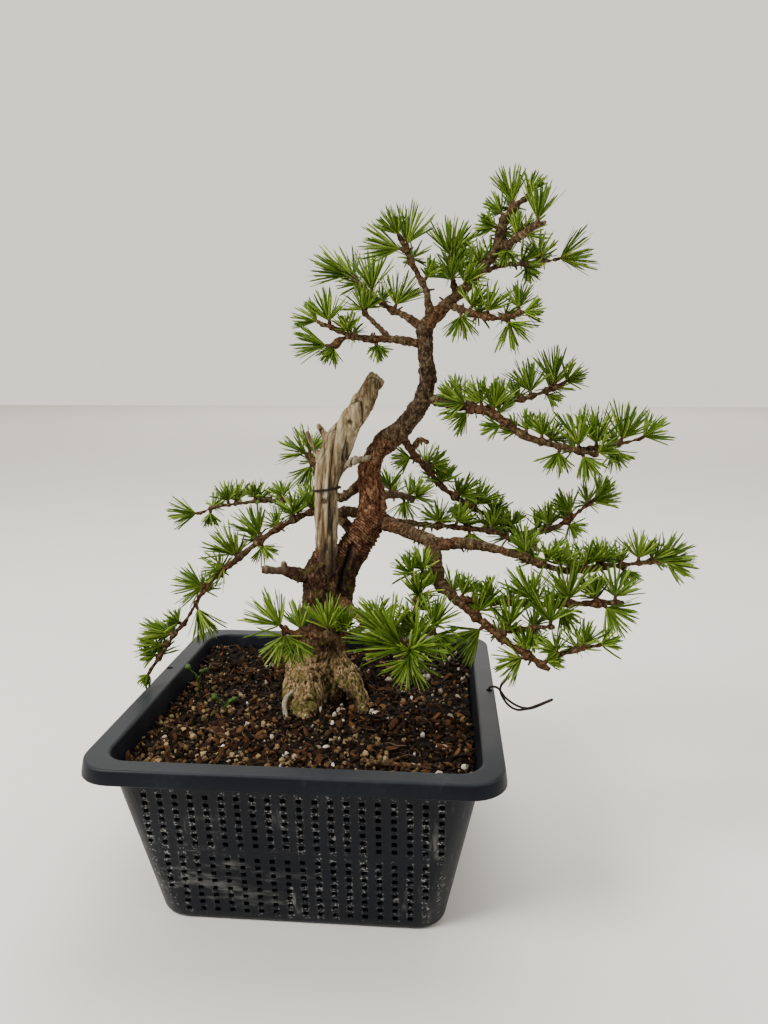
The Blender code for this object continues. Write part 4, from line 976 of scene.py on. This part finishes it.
# Tufts on each twig: share of its length, angle in the front view, lean to the front, the
# half-angle of the brush, and the length of its needles. Angles are in degrees.
TUFTS = {
    "needles_leader": (LEADER, [
        (0.31, 65, 25, 45, 14), (0.48, 100, -30, 42, 14), (0.75, 160, 20, 45, 12),
        (0.82, 120, -25, 42, 12), (0.89, 95, 5, 30, 18), (0.98, 60, 25, 40, 12)]),
    "needles_leader_right": (LEADER_RIGHT, [
        (0.16, -80, 20, 45, 9), (0.38, 80, -20, 45, 12), (0.85, 82, 5, 34, 19)]),
    "needles_leader_far": (LEADER_FAR, [
        (0.31, 85, -30, 45, 12), (0.55, -50, 15, 50, 10), (0.77, 85, -10, 60, 14),
        (1, 15, 5, 44, 21)]),
    "needles_leader_low": (LEADER_LOW, [
        (0.19, -85, 15, 55, 15), (0.31, 60, 20, 50, 13), (0.57, 78, 10, 45, 17),
        (0.83, -65, 15, 52, 17), (1, 92, -10, 42, 13), (1, 5, 20, 38, 11)]),
    "needles_leader_up": (LEADER_UP, [
        (0.29, 110, 15, 50, 16), (0.67, 70, 20, 45, 14), (0.97, 97, 0, 50, 21),
        (1, 45, -20, 42, 16)]),
    "needles_crown_left": (CROWN_LEFT, [
        (0.44, 50, 20, 42, 11), (0.85, 170, 10, 32, 22), (0.86, 75, -10, 38, 21),
        (0.98, 120, 20, 42, 15)]),
    "needles_crown_back": (CROWN_BACK, [
        (0.39, 65, 15, 45, 19), (0.67, 100, 5, 42, 22), (0.94, 130, -25, 40, 18),
        (0.99, 162, 5, 32, 22)]),
    "needles_mid_left": (MID_LEFT, [
        (0.46, -80, 20, 55, 9), (0.7, 110, 25, 50, 11), (0.85, -120, 25, 45, 11),
        (0.9, 176, 10, 36, 19)]),
    "needles_mid_left_up": (MID_LEFT_UP, [(0.94, 125, 5, 55, 15), (1, 60, -20, 45, 12)]),
    "needles_mid_left_front": (MID_LEFT_FRONT, [(0.72, 95, 10, 45, 17), (1, 150, -5, 42, 14)]),
    "needles_right_upper": (RIGHT_UPPER, [
        (0.21, 120, -20, 45, 13), (0.28, 152, 15, 48, 17), (0.29, -140, 15, 38, 14),
        (0.35, 105, -10, 42, 16), (0.41, 85, 10, 48, 17), (0.5, -165, 20, 38, 11),
        (0.62, 80, -25, 50, 11), (0.71, 90, 10, 45, 14), (0.81, -100, 10, 48, 13),
        (0.91, 100, 5, 46, 22), (0.92, -65, 15, 40, 14), (0.98, 20, 20, 42, 12)]),
    "needles_right_upper_back": (RIGHT_UPPER_BACK, [
        (0.32, 120, -15, 45, 12), (0.61, 105, 10, 42, 19), (0.76, -40, -20, 45, 10),
        (0.88, 98, 0, 38, 20), (0.97, 35, 10, 45, 13)]),
    "needles_right_upper_tip": (RIGHT_UPPER_TIP, [
        (0.38, 96, 10, 42, 20), (0.57, -60, 15, 45, 12), (0.72, 75, 0, 44, 20),
        (1, 35, 5, 42, 15)]),
    "needles_right_mid": (RIGHT_MID, [
        (0.22, 178, 15, 40, 12), (0.31, 20, -15, 45, 12), (0.46, 98, 10, 62, 15),
        (0.55, 25, 15, 40, 16), (0.6, -110, -20, 50, 11), (0.67, 42, 5, 36, 18),
        (0.78, 60, 10, 50, 13), (0.93, 90, 15, 55, 13), (1, -60, 10, 50, 12)]),
    "needles_right_mid_tip": (RIGHT_MID_TIP, [
        (0.22, 60, -15, 50, 12), (0.38, 95, 10, 40, 15), (0.58, -35, 10, 55, 12),
        (0.68, 120, 0, 36, 16), (0.9, 28, 5, 38, 17), (1, 60, -10, 42, 13)]),
    "needles_right_back": (RIGHT_BACK, [
        (0.3, -120, 10, 50, 10), (0.38, 100, 15, 62, 15), (0.46, 60, -10, 55, 14),
        (0.54, -80, 0, 50, 12), (0.67, 80, 15, 50, 13), (0.86, 85, 0, 55, 15),
        (1, 10, 5, 45, 15)]),
    "needles_right_low": (RIGHT_LOW, [
        (0.57, 100, -20, 48, 13), (0.62, 60, 15, 45, 12), (0.68, 110, 10, 50, 14),
        (0.75, 70, -15, 50, 14), (0.81, 90, 10, 50, 14), (0.87, -70, 15, 50, 11),
        (0.92, 82, 0, 46, 16), (0.96, 40, 20, 45, 13), (0.99, 35, -10, 40, 16),
        (1, -15, 10, 36, 16)]),
    "needles_right_cut": (RIGHT_CUT, [
        (0.29, 150, 15, 45, 12), (0.41, 60, -10, 38, 13), (0.53, 62, 10, 38, 19),
        (0.6, -140, 10, 34, 20), (0.71, 60, -20, 50, 12), (0.87, -160, 15, 45, 16),
        (0.95, 30, 10, 45, 9)]),
    "needles_right_cut_spur": (RIGHT_CUT_SPUR, [(0.57, 100, 15, 50, 14), (1, 130, 5, 50, 13)]),
    "needles_right_cut_hanger": (RIGHT_CUT_HANGER, [
        (0.35, 75, 25, 50, 14), (0.7, -110, 20, 50, 10), (0.95, 120, 20, 50, 12)]),
    "needles_right_cut_inner": (RIGHT_CUT_INNER, [
        (0.29, 95, 10, 46, 18), (0.66, -80, 15, 50, 11), (1, 95, 5, 40, 19)]),
    "needles_right_long": (RIGHT_LONG, [
        (0.24, 110, 20, 45, 13), (0.47, 105, 10, 48, 19), (0.61, -45, 15, 45, 13),
        (0.68, 92, 10, 46, 23), (0.84, 95, -15, 45, 13), (0.87, -35, 20, 46, 18),
        (0.95, 85, -5, 52, 18)]),
    "needles_right_cut_young": (RIGHT_CUT_YOUNG, [
        (0.32, 120, 15, 50, 12), (0.76, 85, 5, 50, 13), (1, 25, 10, 45, 11)]),
    "needles_front": (FRONT, [
        (0.7, 100, 5, 52, 15), (0.88, 112, 10, 40, 20), (0.95, 146, 15, 28, 27), (1, 70, 62, 62, 13),
        (1, -88, 25, 60, 17), (1, 150, 15, 34, 22), (1, 40, 20, 50, 18)]),
    "needles_front_right": (FRONT_RIGHT, [
        (0.45, 85, 5, 50, 13), (1, 70, 0, 55, 17), (1, -40, 10, 50, 14)]),
    "needles_front_left": (FRONT_LEFT, [
        (0.41, 90, 15, 50, 13), (0.59, 92, 5, 46, 17), (0.85, -110, 20, 50, 12),
        (0.99, -100, 25, 68, 17), (1, 130, 5, 52, 20)]),
    "needles_cascade": (CASCADE, [
        (0.22, 60, 15, 50, 12), (0.28, 100, 10, 66, 15), (0.41, 120, 0, 36, 20),
        (0.42, -60, 15, 55, 12), (0.51, 140, 5, 36, 20), (0.55, -160, 15, 60, 15),
        (0.65, 178, 5, 42, 18), (0.72, -65, 10, 28, 20)]),
    "needles_cascade_tip": (CASCADE, [
        (0.8, 150, 0, 50, 10), (0.84, 172, 5, 28, 18), (0.88, -170, 0, 26, 17),
        (0.93, 170, 10, 40, 9), (0.99, -120, 5, 36, 8)]),
    "needles_left_back": (LEFT_BACK, [
        (0.35, 100, 15, 50, 12), (0.53, 110, -10, 50, 11), (0.69, 95, 10, 50, 11),
        (0.84, 95, 0, 50, 13), (0.94, -90, 10, 38, 10), (1, -178, 5, 32, 18)]),
    "needles_back_left": (BACK_LEFT, [
        (0.54, 110, -20, 50, 14), (0.92, -110, 10, 44, 19), (0.99, 145, 5, 52, 20),
        (1, 70, -25, 50, 18)]),
    "needles_back_right": (BACK_RIGHT, [
        (0.43, 100, -10, 55, 14), (0.78, -80, 0, 55, 15), (1, 40, 5, 55, 16)]),
}
twig_tufts = {}  # node: list of (root, aim, half-angle, needle length)


def along_route(route, share):
    """A point at this share of a route's length, the radius and way there, and the whole length."""
    line = smooth_route(route, 1.0)
    lengths = [(b - a).to_3d().length for a, b in zip(line, line[1:])]
    reach = share * sum(lengths)
    for a, b, length in zip(line, line[1:], lengths):
        if reach <= length:
            break
        reach -= length
    point = a.lerp(b, min(reach / length, 1))
    return point.to_3d(), point.w, (b - a).to_3d().normalized(), sum(lengths)


def nearest_along(route, place):
    """How far along a route, in millimetres, a place beside it is."""
    line = [point.to_3d() for point in smooth_route(route, 1.0)]
    best = min(range(len(line)), key=lambda i: (line[i] - place).length)
    return sum((b - a).length for a, b in zip(line[:best], line[1:best + 1]))


def aim_of(angle, lean):
    """The way that points at an angle in the front view and leans to the front."""
    around, forward = math.radians(angle), math.radians(lean)
    return Vector((math.cos(around) * math.cos(forward), -math.sin(forward),
                   math.sin(around) * math.cos(forward)))


rng = random.Random(11)
for node, (route, tufts) in TUFTS.items():
    found = []
    for share, angle, lean, spread, length in tufts:
        root, radius, ahead, whole = along_route(route, share)
        found.append((root, radius, aim_of(angle, lean), spread, length))
    first, last = min(t[0] for t in tufts), max(t[0] for t in tufts)
    count = int((last - first) * whole / FAR_SIDE_GAP)
    for i in range(count):
        share = first + (last - first) * (i + 0.5) / count
        root, radius, ahead, whole = along_route(route, share)
        away = aim_of(rng.uniform(20, 160), rng.uniform(-75, -40))
        found.append((root, radius, away, 45, rng.uniform(11, 15)))
    twig_tufts[node] = found


def bark_rings(place, along):
    """Bud scars and small lumps of a young twig."""
    rings = 0.2 * noise.noise((along * 0.5, 3.3, place.z * 0.01)) + 0.1 * math.sin(along * 1.9)
    return rings + 0.8 * noise.noise(place * 0.2) + 0.45 * noise.noise(place * 0.62)


def knobbly(nodes):
    """The skin of a twig that swells at its nodes, given by their distances along it."""
    def shape(place, along):
        knobs = sum(0.6 * math.exp(-((along - node) / 1.7) ** 2) for node in nodes)
        return bark_rings(place, along) + knobs
    return shape


def snags(bm, route, rng):
    """Short dead stubs, left where small side twigs died."""
    for _ in range(max(1, round(along_route(route, 1)[3] / 16))):
        root, radius, ahead, whole = along_route(route, rng.uniform(0.12, 0.9))
        if radius < 1.2:
            continue
        away = aim_of(rng.uniform(0, 360), rng.uniform(-20, 60))
        away = (away - ahead * away.dot(ahead) * 0.7).normalized()
        reach = radius + rng.uniform(0.8, 2.2)
        sweep(bm, [(*(root + away * radius * 0.4), 0.8), (*(root + away * reach), 0.5)], 6, 1.0)


def spur(bm, root, radius, aim):
    """The short shoot that a tuft grows from: a stubby bud with a swollen end."""
    start, end = root + aim * radius * 0.3, root + aim * (radius + SPUR)
    middle = start.lerp(end, 0.6)
    sweep(bm, [(*start, 0.9), (*middle, 1.05), (*end, 0.75)], 6, 1.2)


young, twig, young_shader = finish("young_bark", roughness=0.8)
where = twig.object_coordinates()
flecks = twig.noise(where, 620.0, 4.0, 0.7)
broad = twig.noise(where, 60.0, 3.0, 0.6)
wrap = {"Vector": twig.node("ShaderNodeTexCoord", output="UV"), "Scale": (0.4, 60, 1)}
bands = twig.noise(twig.node("ShaderNodeMapping", {}, wrap), 1.0, 3.0, 0.7)
bark_colour = twig.ramp(flecks * 0.6 + bands * 0.4, (0.34, (0.006, 0.003, 0.001)),
                        (0.45, (0.034, 0.019, 0.008)), (0.54, (0.088, 0.055, 0.025)),
                        (0.66, (0.26, 0.19, 0.105)))
red_skin = twig.ramp(flecks, (0.34, (0.010, 0.003, 0.001)), (0.5, (0.062, 0.024, 0.010)),
                     (0.68, (0.20, 0.10, 0.05)))
bark_colour = twig.blend(twig.step(broad, 0.46, 0.6, 0.0, 0.75), bark_colour, red_skin)
lichen = twig.step(twig.noise(where, 180.0, 5.0, 0.7), 0.58, 0.68, 0.0, 0.5)
bark_colour = twig.blend(lichen, bark_colour, (0.15, 0.14, 0.075))
twig.feed(young_shader, "Base Color", bark_colour)
twig.feed(young_shader, "Normal", twig.bump(flecks + bands, 0.0006, 0.8))

rng = random.Random(29)
for node, routes in LIMBS.items():
    bm = bmesh.new()
    for route in routes:
        thick = max(p[3] for p in route)
        grown = [t for name, (r, _) in TUFTS.items() if r is route for t in twig_tufts[name]]
        nodes = [nearest_along(route, tuft[0]) for tuft in grown]
        slim = [(*p[:3], p[3] * SLIMMER) for p in route]
        sweep(bm, slim, 14 if thick > STOUT else 10, 0.9, knobbly(nodes), cut_end=route in SAWN)
        for root, radius, aim, spread, length in grown:
            spur(bm, root, radius, aim)
        snags(bm, route, rng)
    limb = add_piece(f"{node}_wood", mesh_from(bm), bark if node == "cut_stub" else young)
    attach(limb, "root")
    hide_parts(node)

bm = bmesh.new()
for route in STUB_TWIG:
    sweep(bm, route, 12, 0.9, bark_rings, cut_end=True)
stub_twig = add_piece("cut_stub_twig", mesh_from(bm), bleached)
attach(stub_twig, "root")


# ---- Needles ----
# Soft flat larch needles, mostly 10 to 22 mm long, in a brush of forty-four at the end of each
# spur. They are pale at the foot and fresh green above, and bend a little to one side.
NEEDLES, NEEDLE_WIDTH = 44, 1.05
NEEDLE_ROWS = [(0.0, 0.55), (0.2, 0.95), (0.6, 1.0), (0.9, 0.8)]  # share of length, of width
NEEDLE_SECTION = ((1, 0), (0, 0.42), (-1, 0), (0, -0.3))
NEEDLE_BEND = 1.4  # how far the tip goes aside, in widths
needle = bmesh.new()
along_layer = needle.verts.layers.float.new("along")
rings = []
for rise, width in NEEDLE_ROWS:
    ring = []
    for x, y in NEEDLE_SECTION:
        vertex = needle.verts.new((x * width * 0.5, y * width * 0.5, rise))
        vertex.co.x += NEEDLE_BEND * rise * rise
        vertex[along_layer] = rise
        ring.append(vertex)
    rings.append(ring)
tip = needle.verts.new((NEEDLE_BEND, 0, 1))
tip[along_layer] = 1
loft(needle, rings, close_end=False)
for i in range(4):
    needle.faces.new((rings[-1][i], rings[-1][(i + 1) % 4], tip))
bmesh.ops.recalc_face_normals(needle, faces=needle.faces)
needle_shape = bpy.data.objects.new("needle", mesh_from(needle))


def tuft_tree(material):
    """Grows a brush of needles on each point, within the cone that the point's attributes give."""
    graph, given = new_tree("tufts", {"Needles": "NodeSocketInt", "Width": "NodeSocketFloat",
                                      "Seed": "NodeSocketInt", "Needle": "NodeSocketObject"})

    def held(name, kind):
        return graph.node("GeometryNodeInputNamedAttribute", {"data_type": kind}, {"Name": name},
                          "Attribute")

    def chance(low, high, seed):
        return graph.chance(low, high, given["Seed"] + seed)

    copies = graph.node("GeometryNodeDuplicateElements", {"domain": "POINT"},
                        {"Geometry": given["Geometry"], "Amount": given["Needles"]}, "Geometry")
    spread = held("spread", "FLOAT")
    tilt = chance(0.0, 1.0, 1) ** 0.56 * spread * chance(0.8, 1.22, 7)
    around = chance(0.0, 2 * math.pi, 2)
    flat = tilt.math("SINE")
    local = graph.node("ShaderNodeCombineXYZ", {}, {
        "X": flat * around.math("COSINE"), "Y": flat * around.math("SINE"), "Z": tilt.math("COSINE")})
    aimed = graph.node("FunctionNodeAlignRotationToVector", {"axis": "Z"},
                       {"Vector": held("aim", "FLOAT_VECTOR")})
    way = graph.node("FunctionNodeRotateVector", {}, {"Vector": local, "Rotation": aimed})
    stand = graph.node("FunctionNodeAlignRotationToVector", {"axis": "Z"}, {"Vector": way})
    spin = graph.node("FunctionNodeAxisAngleToRotation", {}, {"Axis": (0, 0, 1),
                                                              "Angle": chance(0.0, 2 * math.pi, 3)})
    turned = graph.node("FunctionNodeRotateRotation", {"rotation_space": "LOCAL"},
                        {"Rotation": stand, "Rotate By": spin})
    wide = given["Width"] * chance(0.8, 1.12, 4)
    size = graph.node("ShaderNodeCombineXYZ", {}, {
        "X": wide, "Y": wide, "Z": held("reach", "FLOAT") * chance(0.74, 1.05, 5)})
    source = graph.node("GeometryNodeObjectInfo", {}, {"Object": given["Needle"]}, "Geometry")
    grown = graph.node("GeometryNodeInstanceOnPoints", {},
                       {"Points": copies, "Instance": source, "Rotation": turned, "Scale": size})
    return end_tree(graph, shaded_copies(graph, grown, chance(0.0, 1.0, 6)), material)


leaf, green, leaf_shader = finish("larch_green", roughness=0.48)
# Each needle's random tone spans from a shaded to a sunlit needle colour: partly the needles' own varied
# tone, partly painted light and shade.
body = green.ramp(green.attribute("shade"), (0.0, (0.036, 0.078, 0.006)), (0.4, (0.092, 0.165, 0.014)),
                  (0.8, (0.18, 0.275, 0.028)), (1.0, (0.31, 0.40, 0.06)))
pale_foot = green.step(green.attribute("along"), 0.25, 0.0, 0.0, 0.7)
body = green.blend(pale_foot, body, (0.34, 0.4, 0.07))
streak = green.noise(green.object_coordinates(), 300.0, 2.0)
body = green.blend(green.step(streak, 0.4, 0.7, 0.0, 0.3), body, (0.055, 0.105, 0.008))
green.feed(leaf_shader, "Base Color", body)
green.feed(leaf_shader, "Roughness", green.step(streak, 0.3, 0.7, 0.38, 0.6))
tuft_nodes = tuft_tree(leaf)

for number, (node, tufts) in enumerate(twig_tufts.items()):
    points = bpy.data.meshes.new(node)
    ends = [(root + aim * (radius + SPUR - 0.3)) * MM for root, radius, aim, spread, length in tufts]
    points.from_pydata(ends, [], [])
    for name, kind, values in (
            ("aim", "FLOAT_VECTOR", [tuple(tuft[2]) for tuft in tufts]),
            ("spread", "FLOAT", [math.radians(tuft[3] * 1.25) for tuft in tufts]),
            ("reach", "FLOAT", [tuft[4] * MM for tuft in tufts])):
        layer = points.attributes.new(name, kind, "POINT")
        for item, value in zip(layer.data, values):
            if kind == "FLOAT":
                item.value = value
            else:
                item.vector = value
    brush = run_tree(tuft_nodes, points, {"Needles": NEEDLES, "Width": NEEDLE_WIDTH * MM,
                                          "Seed": number * 10, "Needle": needle_shape})
    brush = add_piece(f"{node}_tufts", brush)
    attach(brush, "root")
    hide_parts(node)


# ---- Wires ----
# Dark coated wire: one loop through a hole in the rim, left from tying a branch down, and a thin
# one twisted round the deadwood. Both are bent once and keep their shape.
WIRE = 0.65
LOOP_RADIUS, LOOP_WIRE = 7.5, 0.34
GUY_WIRE = (
    [(92.4, 5.5, 85.4, WIRE), (92.4, 5.5, 91.2, WIRE), (94.4, 5.3, 92.2, WIRE),
     (97.4, 5.2, 91.2, WIRE), (101.5, 5, 86, WIRE), (107, 5.2, 82, WIRE),
     (112, 5.3, 80.4, WIRE), (116, 5, 81, 0.9), (126, 4.5, 86, 0.8)],
    [(104, 8.5, 98, 0.5), (100.5, 8, 94.5, 0.8), (98.6, 7.4, 91, WIRE),
     (99.2, 6.8, 87, WIRE), (103, 6.2, 81.5, WIRE), (108, 5.9, 79, WIRE),
     (114, 5.5, 80, WIRE)],
)
coated, wire, wire_shader = finish("dark_wire", metallic=0.6)
rub = wire.noise(wire.object_coordinates(), 400.0, 4.0, 0.7)
worn = wire.ramp(rub, (0.35, (0.012, 0.01, 0.009)), (0.7, (0.06, 0.045, 0.035)))
wire.feed(wire_shader, "Base Color", worn)
wire.feed(wire_shader, "Roughness", wire.step(rub, 0.3, 0.7, 0.35, 0.6))
guy = add_piece("guy_wire_loop", swept_mesh(GUY_WIRE, 10, 0.8), coated)
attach(guy, "root")
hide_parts("guy_wire")

ring_low, ring_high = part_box("deadwood_wire")
ring_middle = (ring_low + ring_high) / 2 / MM
turns = []
for i in range(60):
    angle = 2 * math.pi * i / 30
    turns.append((ring_middle.x + LOOP_RADIUS * math.cos(angle),
                  ring_middle.y + LOOP_RADIUS * math.sin(angle),
                  ring_middle.z + 0.9 * math.cos(angle) - 0.7 + i * 0.022, LOOP_WIRE))
ring = add_piece("deadwood_wire_loop", swept_mesh([turns], 8, 0.8), coated)
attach(ring, "root")
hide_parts("deadwood_wire")


# ---- Litter and seedlings ----
# Loose things on the soil: two dry twigs that fell on it, two weed seedlings that came up by
# themselves, and fine roots that show at its surface.
SOIL_TWIGS = {
    "soil_twig_right": ([(30, -59, 80, 1.1), (40, -62, 80.6, 1.2), (50, -63, 80.4, 1), (62, -64, 80, 0.7)],
                        [(41, -62, 80.6, 1), (46, -57, 80.8, 0.8), (50, -53, 80.2, 0.6)]),
    "soil_twig_left": ([(-56, -31, 79.6, 0.8), (-46, -38, 80.4, 0.9), (-35, -45, 79.8, 0.7)],),
}
for node, routes in SOIL_TWIGS.items():
    dry = add_piece(f"{node}_wood", swept_mesh(routes, 8, 1.0, bark_rings), young)
    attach(dry, "root")
    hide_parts(node)

sprout, fresh, sprout_shader = finish("seedling_green", roughness=0.5)
tone = fresh.noise(fresh.object_coordinates(), 260.0)
fresh.feed(sprout_shader, "Base Color", fresh.blend(tone, (0.02, 0.05, 0.008), (0.07, 0.13, 0.025)))
SEEDLINGS = {
    "weed_left": ([(-74, 20, 76, 0.7), (-75, 20, 86, 0.7), (-79, 19, 91, 0.5)],
                  [(-75, 20, 84, 0.6), (-71, 17, 90, 0.5)]),
    "weed_front": ([(-50, -8, 76, 0.7), (-51, -8, 83, 0.6), (-55, -9, 86, 0.5)],
                   [(-51, -8, 81.5, 0.6), (-47, -10, 85, 0.5)]),
}
LEAF_LENGTH, LEAF_ARCH, LEAF_RADIUS = 4.4, 1.5, 1.5
UP = Vector((0, 0, 1))


def leaves(stem):
    """Routes of the two small leaves at a stem's end, arched and pointed."""
    end = Vector(stem[-1][:3])
    way = (end - Vector(stem[-2][:3])).normalized()
    side = way.cross(UP).normalized()
    made = []
    for turn in (-0.9, 0.9):
        out = (way + side * turn).normalized()
        blade = []
        for t in (0, 0.25, 0.5, 0.75, 1):
            width = LEAF_RADIUS * math.sin(math.pi * min(0.08 + t * 0.9, 1))
            blade.append((*(end + out * t * LEAF_LENGTH + UP * t * (1 - t) * LEAF_ARCH), max(0.25, width)))
        made.append(blade)
    return made


for node, stems in SEEDLINGS.items():
    bm = bmesh.new()
    for stem in stems:
        sweep(bm, stem, 8, 1.0)
        for blade in leaves(stem):
            sweep(bm, blade, 8, 0.8)
    bmesh.ops.recalc_face_normals(bm, faces=bm.faces)
    seedling = add_piece(f"{node}_plant", mesh_from(bm), sprout)
    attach(seedling, "root")
    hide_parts(node)


def fibre(seed):
    """A thin root lying flat, 1 metre long until it is scattered, with a wandering line."""
    rng = random.Random(seed)
    points = []
    for t in (0, 0.2, 0.4, 0.6, 0.8, 1):
        aside, above = 120 * rng.uniform(-1, 1), 40 * rng.uniform(-0.3, 1)
        points.append(((t - 0.5) * 1000, aside, above, 14 * (1.1 - t)))
    return swept_mesh([points], 4, 200)


root_tree = scatter_tree("fine_roots", grain_finish(
    "root_skin", [(0.0, (0.03, 0.017, 0.01)), (1.0, (0.17, 0.11, 0.075))], (0.05, 0.03, 0.02)))
roots = add_piece("fine_roots", run_tree(root_tree, soil_mesh, {
    "Density": 9000.0, "Smallest": 7 * MM, "Largest": 22 * MM, "Tilt": 0.12, "Lift": 2.0 * MM,
    "Patch": 21.0, "Gather": (0, 0, 6), "Seed": 9,
    "Kinds": kinds("fibres", [fibre(i) for i in range(6)])}))
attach(roots, "root")
